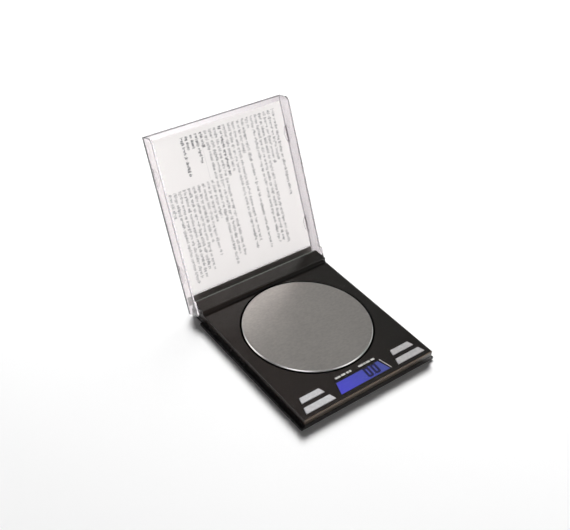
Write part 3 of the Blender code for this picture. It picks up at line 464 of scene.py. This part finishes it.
# painted highlight: a lighter copy of the pan steel for the rim's slope
RIM_HIGHLIGHT_STEEL = satin_steel("pan_rim_painted_highlight", (0.92, 0.90, 0.875), (0.28, 0.32))
SCREW_STEEL = brushed("screw_steel", (0.46, 0.46, 0.48), (0.24, 0.40), 1800.0, 0.000004)
CELL_ALLOY = brushed("load_cell_alloy", (0.62, 0.63, 0.64), (0.30, 0.42), 1500.0, 0.000006)
RUBBER = plastic("foot_rubber", (0.012, 0.012, 0.012), (0.022, 0.021, 0.021), (0.75, 0.92),
                 grain=1500.0, depth=0.00004)
CARRIER = plastic("carrier_grey", (0.09, 0.09, 0.09), (0.13, 0.13, 0.13), (0.45, 0.6))
CHIP = plastic("chip_black", (0.008, 0.008, 0.009), (0.016, 0.016, 0.017), (0.5, 0.65), grain=2600.0)
GAUGE = plastic("gauge_coating", (0.66, 0.63, 0.56), (0.76, 0.74, 0.68), (0.5, 0.7), cloud=200.0)
GUIDE = plastic("light_guide", (0.55, 0.62, 0.85), (0.66, 0.72, 0.93), (0.25, 0.4))
LEAD_RED = plastic("lead_red", (0.36, 0.012, 0.012), (0.46, 0.02, 0.018), (0.38, 0.5))
LEAD_BLACK = plastic("lead_black", (0.012, 0.012, 0.012), (0.02, 0.02, 0.02), (0.38, 0.5))
LEAD_GREY = plastic("lead_grey", (0.25, 0.25, 0.26), (0.33, 0.33, 0.34), (0.38, 0.5))
ZEBRA = brushed("zebra_stripes", (0.20, 0.19, 0.20), (0.7, 0.8), 1400.0, 0.00002, metallic=0.0)
LCD_BLUE = lit_display("lcd_blue")
LCD_INK = ink("lcd_segments", (0.003, 0.003, 0.060), 0.45, 0.1, glow=(0.0, 0.0, 0.03))
MASK = ink("display_mask_black", (0.006, 0.006, 0.012), 0.6, 0.1)
GAP_PAINTED_SHADE = unlit("gap_painted_shade")
BOARD = board_green("board_green")
WRAP = battery_wrap("battery_wrap")


# ---------------------------------------------------------------- making pieces
SHARP_EDGE = math.radians(50.0)  # edges that turn by more than this are eased
MERGE_DISTANCE = 1e-6
FLAT_ENOUGH = math.radians(0.5)  # neighbouring CAD triangles within this angle make one face


def piece(name, mesh, body, material, slot, *replaced):
    """Puts a mesh in the scene as a piece that rides on a body."""
    obj = bpy.data.objects.new(name, mesh)
    bpy.context.scene.collection.objects.link(obj)
    obj.data.materials.clear()
    obj.data.materials.append(material)
    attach(obj, body)
    if replaced:
        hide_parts(*replaced)
    return obj


def repaint(node, material):
    """Gives a CAD node that stays visible its material."""
    NODES[node].data.materials.clear()
    NODES[node].data.materials.append(material)


def mesh_of(shape, name, place=CASE):
    """Turns a bmesh laid out in case coordinates into a mesh in the frame's own."""
    bmesh.ops.recalc_face_normals(shape, faces=shape.faces)
    mesh = bpy.data.meshes.new(name)
    shape.to_mesh(mesh)
    shape.free()
    mesh.transform(place)
    return mesh


def smoothed(mesh, angle=35.0):
    """Smooth shading up to an angle in degrees."""
    mesh.shade_smooth()
    mesh.set_sharp_from_angle(angle=math.radians(angle))


def settle(obj):
    """Applies an object's modifiers to its mesh."""
    bpy.context.view_layer.update()
    evaluated = obj.evaluated_get(bpy.context.evaluated_depsgraph_get())
    mesh = bpy.data.meshes.new_from_object(evaluated)
    obj.modifiers.clear()
    obj.data = mesh


def eased(node, name, material, slot, edge, segments=2):
    """A CAD node's form with its sharp edges eased, standing for the node."""
    shape = bmesh.new()
    shape.from_mesh(NODES[node].data)
    bmesh.ops.remove_doubles(shape, verts=shape.verts, dist=MERGE_DISTANCE)
    bmesh.ops.dissolve_limit(shape, angle_limit=FLAT_ENOUGH, verts=shape.verts, edges=shape.edges)
    mesh = bpy.data.meshes.new(name)
    shape.to_mesh(mesh)
    shape.free()
    smoothed(mesh)
    obj = piece(name, mesh, NODES[node]["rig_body"], material, slot, node)
    if edge:
        step = obj.modifiers.new("eased_edges", "BEVEL")
        step.width = edge
        step.segments = segments
        step.limit_method = "ANGLE"
        step.angle_limit = SHARP_EDGE
    even = obj.modifiers.new("even_normals", "WEIGHTED_NORMAL")   # flat faces stay flat
    even.keep_sharp = True
    even.weight = 80
    return obj


def turned(shape, profile, centre, steps):
    """Adds a profile of (radius, height) points turned about a vertical axis."""
    rings = []
    for radius, height in profile:
        if not radius:
            rings.append([shape.verts.new((*centre, height))])
            continue
        ring = []
        for index in range(steps):
            angle = 2 * math.pi * index / steps
            ring.append(shape.verts.new((centre[0] + radius * math.cos(angle),
                                         centre[1] + radius * math.sin(angle), height)))
        rings.append(ring)
    for upper, lower in zip(rings, rings[1:]):
        for index in range(steps):
            after = (index + 1) % steps
            corners = [upper[index % len(upper)], lower[index % len(lower)],
                       lower[after % len(lower)], upper[after % len(upper)]]
            shape.faces.new(list(dict.fromkeys(corners)))


def arc(centre, radius, start, end, steps):
    """Points on an arc in the plane of radius and height, angles in degrees."""
    points = []
    for index in range(steps + 1):
        angle = math.radians(start + (end - start) * index / steps)
        points.append((centre[0] + radius * math.cos(angle), centre[1] + radius * math.sin(angle)))
    return points


def walls(shape, bottom, top):
    """Faces all round between two loops of the same length."""
    for index in range(len(bottom)):
        after = (index + 1) % len(bottom)
        shape.faces.new((bottom[index], bottom[after], top[after], top[index]))


def plate(shape, outline, low, high):
    """Adds a flat plate with the given outline between two heights."""
    bottom = [shape.verts.new((x, y, low)) for x, y in outline]
    top = [shape.verts.new((x, y, high)) for x, y in outline]
    shape.faces.new(top)
    shape.faces.new(list(reversed(bottom)))
    walls(shape, bottom, top)


# ---------------------------------------------------------------- case
COVER_EDGE = 0.00024             # widths of the eased edges
TRAY_EDGE = 0.00018
DOOR_EDGE = 0.00012
KEY_EASING = 0.0001
BEAD_END = 0.0006                # the bead stops this far from the cover's sides
BEAD_INSET = 0.0002              # and this far from its rear face
BEAD_SECTION = ((-0.0011, -0.0002), (-0.0010, 0.00012), (-0.0007, 0.00024),
                (-0.0004, 0.00026), (-0.0001, 0.00014), (0.0, -0.0002))   # (Y, Z) from its rear edge


def make_case():
    """Tray, cover, keys and battery door with eased edges."""
    eased("base_tray", "tray_shell", TRAY, "tray_plastic", TRAY_EDGE)
    eased("top_cover", "cover_shell", COVER, "cover_plastic", COVER_EDGE, 3)
    eased("battery_door", "door_shell", TRAY, "tray_plastic", DOOR_EDGE)
    for side in ("left", "right"):
        for row in ("rear", "front"):
            key = "key_%s_%s" % (side, row)
            eased(key, key + "_cap", KEY, "key_silver", KEY_EASING)


def make_strip_bead():
    """Low rounded bead along the battery strip's rear top edge, coloured lighter than the cover as a
    painted highlight.
    """
    half = COVER_HIGH.x - BEAD_END
    rear = COVER_REAR - BEAD_INSET
    shape = bmesh.new()
    left, right = [[shape.verts.new((x, rear + back, COVER_HIGH.z + up)) for back, up in BEAD_SECTION]
                   for x in (-half, half)]
    walls(shape, left, right)
    shape.faces.new(left)
    shape.faces.new(list(reversed(right)))
    mesh = mesh_of(shape, "strip_bead")
    smoothed(mesh, 60)
    piece("strip_bead", mesh, "case", BEAD, "cover_plastic")


# ---------------------------------------------------------------- feet and screws
FOOT_ROUNDING = 0.0004
FOOT_DISH = 0.0002               # depth of the dish underneath
FOOT_STEPS = 48                  # round a foot
DISH_FLAT, DISH_END = 0.55, 0.62  # where the dish's floor and slope end, as shares of the radius


def make_feet():
    """Rubber feet: rounded rim and a shallow dish underneath."""
    for node in [name for name in NODES if name.startswith("rubber_foot")]:
        low, high, centre, radius = round_node(node)
        edge = FOOT_ROUNDING
        profile = [(0, low.z + FOOT_DISH), (radius * DISH_FLAT, low.z + FOOT_DISH),
                   (radius * DISH_END, low.z)]
        profile += arc((radius - edge, low.z + edge), edge, 270, 360, 5)
        profile += [(radius, high.z), (0, high.z)]
        shape = bmesh.new()
        turned(shape, profile, centre, FOOT_STEPS)
        mesh = mesh_of(shape, node + "_dished")
        smoothed(mesh, 50)
        piece(node + "_dished", mesh, "case", RUBBER, "foot_rubber", node)


HEAD_DEPTH = 0.0007              # a screw head's, or a third of a short screw
DOME = ((0.80, 0.0), (0.95, 0.0001), (1.0, 0.0003))   # (share of the radius, depth) down its face
THREAD_PITCH = 0.0005
THREAD_ROOT = 0.00012            # how far each root lies behind its crest
SHANK, CREST, ROOT, TIP = 0.5, 1.05, 0.88, 0.6   # shank as a share of the head, the rest of the shank
RECESS_REACH, RECESS_HALF = 0.62, 0.13           # the cross, as shares of the head
RECESS_DEPTH = 0.75              # of the head's depth
SCREW_STEPS = 28                 # round a screw


def screw_profile(radius, face, end, depth):
    """Domed head and threaded shank, from the head's face to the tip."""
    sign = 1 if end > face else -1
    length = abs(end - face)
    shank = radius * SHANK
    profile = [(0, face)]
    profile += [(radius * share, face + sign * down) for share, down in DOME]
    profile += [(radius, face + sign * depth), (shank, face + sign * depth)]
    turns = max(3, int(length / THREAD_PITCH))
    for index in range(turns):
        height = face + sign * (depth + (length - depth) * (index + 0.5) / turns)
        profile += [(shank * CREST, height), (shank * ROOT, height + sign * THREAD_ROOT)]
    return profile + [(shank * TIP, end), (0, end)]


def cut_recess(obj, centre, face, radius, depth):
    """Cuts a cross into a screw's head."""
    half, width, deep = radius * RECESS_REACH, radius * RECESS_HALF, depth * RECESS_DEPTH
    for turn in (0, math.pi / 2):
        bar = bmesh.new()
        plate(bar, [(-half, -width), (half, -width), (half, width), (-half, width)], -deep, deep)
        place = CASE @ Matrix.Translation((*centre, face)) @ Matrix.Rotation(turn, 4, "Z")
        cutter = bpy.data.objects.new("recess", mesh_of(bar, "recess", place))
        bpy.context.scene.collection.objects.link(cutter)
        step = obj.modifiers.new("recess", "BOOLEAN")
        step.operation = "DIFFERENCE"
        step.solver = "EXACT"
        step.object = cutter
        settle(obj)
        bpy.data.objects.remove(cutter, do_unlink=True)


def make_screws():
    """Screws with a crossed recess in a domed head."""
    for node in [name for name in NODES if "_screw" in name]:
        low, high, centre, radius = round_node(node)
        head_below = node.startswith(("case_screw", "load_cell_screw"))
        face, end = (low.z, high.z) if head_below else (high.z, low.z)
        depth = min(HEAD_DEPTH, (high.z - low.z) / 3)
        shape = bmesh.new()
        turned(shape, screw_profile(radius, face, end, depth), centre, SCREW_STEPS)
        mesh = mesh_of(shape, node + "_head")
        smoothed(mesh, 40)
        obj = piece(node + "_head", mesh, NODES[node]["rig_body"], SCREW_STEEL, "screw_steel", node)
        cut_recess(obj, centre, face, radius, depth)


# ---------------------------------------------------------------- pan
RIM_UPPER, RIM_SLOPE, RIM_LOWER = 0.0005, 0.0006, 0.0004   # upper arc, slope, lower arc
FACE_END = 0.0006                # the flat face's last ring lies this far inside the rim's arc
PAN_SKIN = 0.0007
PAN_STEPS = 192                  # round the pan, and round the ring at its edge
RIM_TILT = (0.1, 0.96)           # faces whose normals' Z lies between these get the lighter steel, a painted highlight
GAP_CLEAR = 0.0002               # from the pan to the ring round it
GAP_WIDTH = 0.0014
GAP_DEPTH = 0.0002
LIFT = 0.00003                   # keeps thin pieces clear of the surface that they lie on


def make_pan():
    """Steel pan: flat face, a rim with a narrow slope in lighter steel as a painted highlight, and a
    thin skirt.
    """
    radius, top = PAN_RADIUS, PAN_HIGH.z
    slant = math.sqrt(0.5)       # cosine of the slope's 45 degrees
    slope_end = (radius - RIM_LOWER * (1 - slant),
                 top - RIM_UPPER * (1 - slant) - RIM_SLOPE * slant)
    first = (slope_end[0] - (RIM_SLOPE + RIM_UPPER) * slant, top - RIM_UPPER)
    inside = radius - PAN_SKIN
    profile = [(0, top), (radius * 0.5, top), (first[0] - FACE_END, top)]
    profile += arc(first, RIM_UPPER, 90, 45, 5)
    profile += arc((radius - RIM_LOWER, slope_end[1] - RIM_LOWER * slant), RIM_LOWER, 45, 0, 4)
    profile += [(radius, PAN_LOW.z), (inside, PAN_LOW.z), (inside, top - PAN_SKIN), (0, top - PAN_SKIN)]
    shape = bmesh.new()
    turned(shape, profile, PAN_CENTRE, PAN_STEPS)
    mesh = mesh_of(shape, "pan_dish")
    smoothed(mesh, 50)
    dish = piece("pan_dish", mesh, "pan", PAN_STEEL, "brushed_steel", "weighing_pan")
    dish.data.materials.append(RIM_HIGHLIGHT_STEEL)
    for face in dish.data.polygons:
        face.material_index = 1 if RIM_TILT[0] < face.normal.z < RIM_TILT[1] else 0


def make_pan_gap():
    """Painted shade for the gap round the pan: a dull black ring flush with the cover."""
    inner = PAN_RADIUS + GAP_CLEAR
    outer = inner + GAP_WIDTH
    low, high = COVER_TOP - GAP_DEPTH, COVER_TOP + LIFT
    shape = bmesh.new()
    turned(shape, [(inner, low), (inner, high), (outer, high), (outer, low), (inner, low)],
           PAN_CENTRE, PAN_STEPS)
    bmesh.ops.remove_doubles(shape, verts=shape.verts, dist=MERGE_DISTANCE)
    mesh = mesh_of(shape, "pan_gap_painted_shade")
    smoothed(mesh, 50)
    piece("pan_gap_painted_shade", mesh, "case", GAP_PAINTED_SHADE, "cover_plastic")


# ---------------------------------------------------------------- display
# Places on the display are in case coordinates.
DIGIT_HEIGHT = 0.0080
DIGIT_WIDTH = 0.0033
DIGIT_LEAN = 0.08
SEGMENT = 0.0019                 # width of a segment
SEGMENT_POINT = 0.3              # how long its ends are, as a share of its width
DIGIT_BASE = 0.0079              # front edge of the figures
DIGIT_PLACES = (0.0053, 0.0120)  # left edges of the two figures
POINT_PLACE = 0.0101
POINT_SHAPE = ((0.0, -0.0008), (0.0007, -0.0008), (0.0008, -0.0001), (0.0001, -0.0001))
CELL_LIFT = 0.00002              # figures and mask lie this far above the display's glass
FIGURE_THICKNESS = 0.00004
MASK_THICKNESS = 0.00003
LIT_AREA = ((-0.0229, 0.0056), (0.0233, 0.0058), (0.0200, 0.0169), (-0.0190, 0.0169))
MASK_ENDS, MASK_SIDES = 0.0002, 0.0001   # the mask stops this far inside the glass
# painted highlight: a thin white line along the window's right end
END_HIGHLIGHT = ((0.0209, 0.0158), (0.0213, 0.0159), (0.0239, 0.0049), (0.0235, 0.0048))
END_HIGHLIGHT_DEPTH = 0.0003
CLEAR_TILT = 0.9                 # the window's faces are clear where their normals' Z is past this


def segment(shape, start, end, z):
    """A bar with pointed ends between two points."""
    direction = Vector((end[0] - start[0], end[1] - start[1]))
    across = Vector((-direction.y, direction.x)).normalized() * (SEGMENT / 2)
    along = direction.normalized() * (SEGMENT * SEGMENT_POINT)
    first = Vector(start) - along
    last = Vector(end) + along
    outline = [first, first + along + across, last - along + across, last,
               last - along - across, first + along - across]
    plate(shape, [(point.x, point.y) for point in outline], z, z + FIGURE_THICKNESS)


def lean(x, y):
    """A point of an upright figure on the leaning one."""
    return x + (y - DIGIT_BASE) * DIGIT_LEAN, y


def make_figures(z):
    """The figures 0.0: six segments for each nought, and a point."""
    shape = bmesh.new()
    middle = DIGIT_BASE + DIGIT_HEIGHT / 2
    top = DIGIT_BASE + DIGIT_HEIGHT
    for left in DIGIT_PLACES:
        right = left + DIGIT_WIDTH
        for start, end in (((left, DIGIT_BASE), (right, DIGIT_BASE)), ((left, top), (right, top)),
                           ((left, DIGIT_BASE), (left, middle)), ((left, middle), (left, top)),
                           ((right, DIGIT_BASE), (right, middle)), ((right, middle), (right, top))):
            segment(shape, lean(*start), lean(*end), z)
    plate(shape, [(POINT_PLACE + x, DIGIT_BASE + y) for x, y in POINT_SHAPE], z, z + FIGURE_THICKNESS)
    piece("display_figures", mesh_of(shape, "display_figures"), "case", LCD_INK, "display_blue")


def make_mask(z):
    """A black frame round the lit area, out to the glass's slanting ends."""
    low, high = LCD_LOW.y + MASK_SIDES, LCD_HIGH.y - MASK_SIDES
    left, right = LCD_LOW.x + MASK_ENDS, LCD_HIGH.x - MASK_ENDS
    slope = (LIT_AREA[0][0] - LIT_AREA[3][0]) / (LIT_AREA[0][1] - LIT_AREA[3][1])
    rise = (high - low) * slope
    outer = [(left, low), (right, low), (right + rise, high), (left - rise, high)]
    mask = bmesh.new()
    for index in range(4):
        after = (index + 1) % 4
        plate(mask, [outer[index], outer[after], LIT_AREA[after], LIT_AREA[index]],
              z, z + MASK_THICKNESS)
    piece("display_mask", mesh_of(mask, "display_mask"), "case", MASK, "display_blue")


def make_display():
    """Back-lit cell with its figures and mask, under a clear window with black sides, and a painted
    highlight at the window's right end.
    """
    repaint("display_glass", LCD_BLUE)
    z = LCD_HIGH.z + CELL_LIFT
    make_figures(z)
    make_mask(z)
    pane = eased("display_window", "window_pane", WINDOW, "clear_plastic", 0)
    pane.data.materials.append(MASK)
    for face in pane.data.polygons:
        face.material_index = 0 if abs(face.normal.z) > CLEAR_TILT else 1
    # the painted highlight: a thin white line along the window's right end
    line = bmesh.new()
    level = COVER_TOP + LIFT
    plate(line, END_HIGHLIGHT, level - END_HIGHLIGHT_DEPTH, level)
    piece("window_end_painted_highlight", mesh_of(line, "window_end_painted_highlight"), "case", WHITE_INK_AND_HIGHLIGHT, "cover_plastic")


# ---------------------------------------------------------------- printing
# strokes, as shares of the letter size unless said otherwise
STROKE_PACE = 0.27
STROKE_WIDTHS = (0.45, 0.55, 0.85)                 # of the pace
STROKE_HEIGHTS = (0.68, 0.70, 0.72, 1.0)
STROKE_DROPS = (0.0, 0.0, 0.0, 0.0, 0.36, -0.24)
WORD_GAP = 0.42
WORD_LENGTHS = (4, 15)                             # in strokes


def tick_line(shape, start, length, size, rng, turn, z, bold=1.0, tall=STROKE_HEIGHTS):
    """One line of generic print: clumps of thin upright strokes, no letters.

    turn maps (start, along, across) to X and Y.
    """
    along = 0.0
    pace = size * STROKE_PACE
    while along < length:
        for _ in range(rng.randint(*WORD_LENGTHS)):
            width = pace * rng.choice(STROKE_WIDTHS) * bold
            height = size * rng.choice(tall)
            drop = size * rng.choice(STROKE_DROPS) if len(tall) > 1 else 0.0
            corners = [(along, drop), (along + width, drop), (along + width, height), (along, height)]
            shape.faces.new([shape.verts.new((*turn(start, a, b), z)) for a, b in corners])
            along += pace
            if along >= length:
                break
        along += size * WORD_GAP


PRINT_TILT = 0.0136              # the sheet lies a little askew in the lid
PRINT_PITCH = 0.00423
PRINT_TOP = 0.0506               # first line's foot, from the middle of the lid
PRINT_START = 0.0092             # where the lines begin, from the case's front
COLUMN_START = 0.0475
LETTER = 0.0026
BLOCK_ENDS = (0.080, 0.051, 0.051, 0.118, 0.115, 0.115, 0.018, 0.116, 0.036, 0.107, 0.113, 0.046,
              0.049, 0.114, 0.1115, 0.1185)   # where each line of the first block ends
TABLE_ENDS = (0.021, 0.032, 0.020, 0.020, 0.039)
COLUMN_ENDS = (0.078, 0.080, 0.107, 0.094, 0.115, 0.113, 0.1185, 0.118, 0.121, 0.066)
HEADING = 12                     # the first block's line in heavy print
HEADING_WEIGHT, TABLE_WEIGHT, MARK_WEIGHT = 1.2, 1.15, 1.5
RULE = ((0.0, 0.0215), (0.0001, 0.0215), (0.0004, 0.0465), (0.0003, 0.0465))
PRINT_LIFT = 0.00006             # the print lies this far below the sheet's face on the shut lid
MARKS = ((-0.0182, 0.0042), (-0.0125, 0.0034), (-0.0077, 0.0043), (0.0035, 0.0110),
         (0.0154, 0.0036))       # left end and length of the marks over the display
MARK_BASE = 0.0179
MARK_SIZE = 0.0017
MARK_LIFT = 0.00004


def down_the_lid(start, along, across):
    """Lines on the sheet run from the lid's free end towards its hinge."""
    return start[0] + across + along * PRINT_TILT, start[1] + along


def along_the_front(start, along, across):
    """Marks over the display run from left to right."""
    return start[0] + along, start[1] + across


def make_print():
    """Word-like strokes on the sheet, in blocks, and short marks over the display."""
    rng = random.Random(7)
    z = SHEET_LOW.z - PRINT_LIFT
    plain = bmesh.new()
    strong = bmesh.new()

    def sheet_line(target, place, begin, end, weight=1.0):
        tick_line(target, (place, begin), end - begin, LETTER, rng, down_the_lid, z, weight)

    for row, end in enumerate(BLOCK_ENDS):
        target, weight = (strong, HEADING_WEIGHT) if row == HEADING else (plain, 1.0)
        sheet_line(target, PRINT_TOP - row * PRINT_PITCH, PRINT_START, end, weight)
    table_top = PRINT_TOP - len(BLOCK_ENDS) * PRINT_PITCH
    for row, end in enumerate(TABLE_ENDS):
        sheet_line(strong, table_top - row * PRINT_PITCH, PRINT_START, end, TABLE_WEIGHT)
    shift = (COLUMN_START - PRINT_START) * PRINT_TILT
    for row, end in enumerate(COLUMN_ENDS):
        sheet_line(plain, table_top + shift - row * PRINT_PITCH, COLUMN_START, end)
    plain.faces.new([plain.verts.new((table_top + x, y, z)) for x, y in RULE])
    piece("sheet_print", mesh_of(plain, "sheet_print", LID), "lid", INK, "paper")
    piece("sheet_print_bold", mesh_of(strong, "sheet_print_bold", LID), "lid", INK_BOLD, "paper")

    marks = bmesh.new()
    for left, length in MARKS:
        tick_line(marks, (left, MARK_BASE), length, MARK_SIZE, rng, along_the_front,
                  COVER_TOP + MARK_LIFT, MARK_WEIGHT, (1.0,))
    piece("front_marks", mesh_of(marks, "front_marks"), "case", WHITE_INK_AND_HIGHLIGHT, "cover_plastic")


# ---------------------------------------------------------------- lid
LID_EDGE = 0.00045
BAND_EDGE = 0.0001
SHEET_THICKNESS = 0.00014
SHEET_STEPS = 36                 # divisions of the sheet each way
RIPPLE = 0.00004                 # how far the sheet waves, and how fast along X and Y
RIPPLE_X, RIPPLE_Y, RIPPLE_START = 70, 55, 1.0


def make_sheet():
    """The paper leaf, gently rippled."""
    middle = (SHEET_LOW.z + SHEET_HIGH.z) / 2 - SHEET_THICKNESS / 2
    steps = SHEET_STEPS
    shape = bmesh.new()
    layers = []
    for lift in (0.0, SHEET_THICKNESS):
        rows = []
        for j in range(steps + 1):
            y = SHEET_LOW.y + (SHEET_HIGH.y - SHEET_LOW.y) * j / steps
            row = []
            for i in range(steps + 1):
                x = SHEET_LOW.x + (SHEET_HIGH.x - SHEET_LOW.x) * i / steps
                wave = RIPPLE * math.sin(x * RIPPLE_X + RIPPLE_START) * math.cos(y * RIPPLE_Y)
                row.append(shape.verts.new((x, y, middle + lift + wave)))
            rows.append(row)
        layers.append(rows)
    for rows in layers:
        for j in range(steps):
            for i in range(steps):
                shape.faces.new((rows[j][i], rows[j][i + 1], rows[j + 1][i + 1], rows[j + 1][i]))
    rim = ([(0, i) for i in range(steps)] + [(j, steps) for j in range(steps)]
           + [(steps, i) for i in range(steps, 0, -1)] + [(j, 0) for j in range(steps, 0, -1)])
    walls(shape, *[[rows[j][i] for j, i in rim] for rows in layers])
    mesh = mesh_of(shape, "sheet_leaf", LID)
    smoothed(mesh, 50)
    leaf = piece("sheet_leaf", mesh, "lid", PAPER, "paper", "instruction_sheet")
    leaf.visible_shadow = False


def make_lid():
    """Clear lid with eased edges, the paper under its tabs and the dark band by the hinge."""
    shell = eased("lid", "lid_shell", CLEAR, "clear_plastic", LID_EDGE, 4)
    shell.visible_shadow = False
    make_sheet()
    eased("lid_dark_band", "band_strip", BAND, "lid_band", BAND_EDGE)


# ---------------------------------------------------------------- inside pieces keep their CAD form
INSIDE = {"pan_carrier": CARRIER, "load_cell": CELL_ALLOY, "strain_gauge_top": GAUGE,
          "strain_gauge_bottom": GAUGE, "main_board": BOARD, "controller_chip": CHIP,
          "display_backlight": GUIDE, "zebra_strip": ZEBRA, "contact_plate": SCREW_STEEL,
          "contact_spring": SCREW_STEEL, "battery_lead_red": LEAD_RED,
          "battery_lead_black": LEAD_BLACK, "load_cell_lead": LEAD_GREY,
          "battery_cell_left": WRAP, "battery_cell_right": WRAP}


def dress_inside():
    """Materials for the CAD nodes inside the case."""
    for name in NODES:
        if name.startswith("tact_switch"):
            repaint(name, CHIP)
    for name, material in INSIDE.items():
        repaint(name, material)


# ---------------------------------------------------------------- stage, light and camera
FLOOR_SOLID = 0.95               # radius within which the floor is opaque
FLOOR_END = 1.7
FLOOR_DROP = 0.00005             # the floor lies this far below the feet


def make_stage():
    """A pale matt floor that melts into the backdrop."""
    look = Look("floor_white", (0.90, 0.90, 0.90), 0.8)
    look.feed("Base Color", look.ramp(look.noise(3.0), (0.89, 0.89, 0.89), (0.91, 0.91, 0.91)))
    look.set("Specular IOR Level", 0.1)
    far = look.node("ShaderNodeVectorMath", operation="LENGTH")
    look.link(look.place, far.inputs[0])
    look.feed("Alpha", look.fall(far.outputs["Value"], FLOOR_SOLID, FLOOR_END))
    shape = bmesh.new()
    bmesh.ops.create_circle(shape, cap_ends=True, segments=96, radius=FLOOR_END)
    mesh = bpy.data.meshes.new("floor")
    shape.to_mesh(mesh)
    shape.free()
    mesh.materials.append(look.material)
    floor = bpy.data.objects.new("floor", mesh)
    floor.location.z = -FLOOR_DROP
    bpy.context.scene.collection.objects.link(floor)


AIM = Vector((0, 0, 0.03))       # what the lamps are turned to
LAMPS = (                        # name, place, width, height, watts, seen only as a highlight
    ("key_high", (1.15, 1.15, 1.63), 0.9, 0.9, 87.0, False),
    ("sheet_front", (-0.3, -2.4, 0.10), 0.9, 0.12, 58.0, False),
    ("edge_front", (1.18, -1.73, 1.18), 1.3, 1.3, 8.0, True),
    ("edge_left", (-1.68, 1.37, 1.03), 1.3, 1.3, 8.0, True),
    ("edge_near", (-1.29, -1.13, 1.67), 1.3, 1.3, 8.0, True),
    ("edge_top", (0.0, 0.0, 1.9), 1.2, 1.2, 3.6, True),
    ("pan_card", (1.05, 1.55, 1.72), 1.7, 1.7, 1.9, True))
# the room's brightness by the sine of the height above the horizon, as seen and reflected
BACKDROP = ((0.0, 0.98), (0.10, 0.90), (0.28, 0.10), (0.50, 0.06), (0.66, 0.08), (1.0, 0.08))
ROOM_FILL = 0.035                # its even glow on matt surfaces


def softbox(name, place, width, height, power, mirrored):
    """A soft rectangular lamp; a mirrored one is only seen as a highlight, another adds none."""
    data = bpy.data.lights.new(name, "AREA")
    data.shape = "RECTANGLE"
    data.size = width
    data.size_y = height
    data.energy = power
    lamp = bpy.data.objects.new(name, data)
    lamp.location = place
    lamp.rotation_euler = (AIM - Vector(place)).to_track_quat("-Z", "Y").to_euler()
    lamp.visible_diffuse = not mirrored
    lamp.visible_glossy = lamp.visible_transmission = mirrored
    bpy.context.scene.collection.objects.link(lamp)


def make_light():
    """A soft key behind to the right, a low lamp for the sheet, five highlights and the room."""
    for lamp in LAMPS:
        softbox(*lamp)
    world = bpy.data.worlds.new("studio")
    world.use_nodes = True
    tree = world.node_tree
    place = tree.nodes.new("ShaderNodeTexCoord").outputs["Generated"]
    split = tree.nodes.new("ShaderNodeSeparateXYZ")
    ramp = tree.nodes.new("ShaderNodeValToRGB")
    ramp.color_ramp.elements[0].position = BACKDROP[0][0]
    ramp.color_ramp.elements[1].position = BACKDROP[-1][0]
    for position, _ in BACKDROP[1:-1]:
        ramp.color_ramp.elements.new(position)
    for element, (_, level) in zip(ramp.color_ramp.elements, BACKDROP):
        element.color = (level, level, level, 1)
    tree.links.new(place, split.inputs["Vector"])
    tree.links.new(split.outputs["Z"], ramp.inputs["Fac"])
    seen = tree.nodes.new("ShaderNodeMix")
    seen.data_type = "RGBA"
    matt = tree.nodes.new("ShaderNodeLightPath").outputs["Is Diffuse Ray"]
    tree.links.new(matt, seen.inputs[MIX_SHARE])
    tree.links.new(ramp.outputs["Color"], seen.inputs[MIX_ONE])
    seen.inputs[MIX_TWO].default_value = (ROOM_FILL, ROOM_FILL, ROOM_FILL, 1)
    background = tree.nodes["Background"]
    tree.links.new(seen.outputs[MIX_RESULT], background.inputs["Color"])
    background.inputs["Strength"].default_value = 1.0
    bpy.context.scene.world = world
    bpy.context.scene.view_settings.view_transform = "Standard"


CAMERA_PLACE = (-0.332372, -0.401914, 0.470698)
CAMERA_TURN = (39.319, 38.936, 3.907)   # azimuth from +Y, angle downwards and roll, in degrees
CAMERA_LENS = 56.36


def make_camera():
    """Three-quarter view from the front left, rolled a little, as fitted to the photo."""
    azimuth, elevation, roll = (math.radians(angle) for angle in CAMERA_TURN)
    forward = Vector((math.sin(azimuth) * math.cos(elevation), math.cos(azimuth) * math.cos(elevation),
                      -math.sin(elevation)))
    level = Vector((math.cos(azimuth), -math.sin(azimuth), 0))
    upright = level.cross(forward)
    right = math.cos(roll) * level + math.sin(roll) * upright
    up = -math.sin(roll) * level + math.cos(roll) * upright
    data = bpy.data.cameras.new("camera")
    data.lens = CAMERA_LENS
    data.sensor_width = 36.0
    data.clip_start = 0.01
    camera = bpy.data.objects.new("camera", data)
    turn = Matrix((right, up, -forward)).transposed().to_4x4()
    camera.matrix_world = Matrix.Translation(CAMERA_PLACE) @ turn
    bpy.context.scene.collection.objects.link(camera)
    bpy.context.scene.camera = camera


make_camera()
make_light()
make_stage()
make_case()
make_strip_bead()
make_feet()
make_screws()
make_pan()
make_pan_gap()
make_display()
make_lid()
make_print()
dress_inside()

bpy.context.view_layer.update()
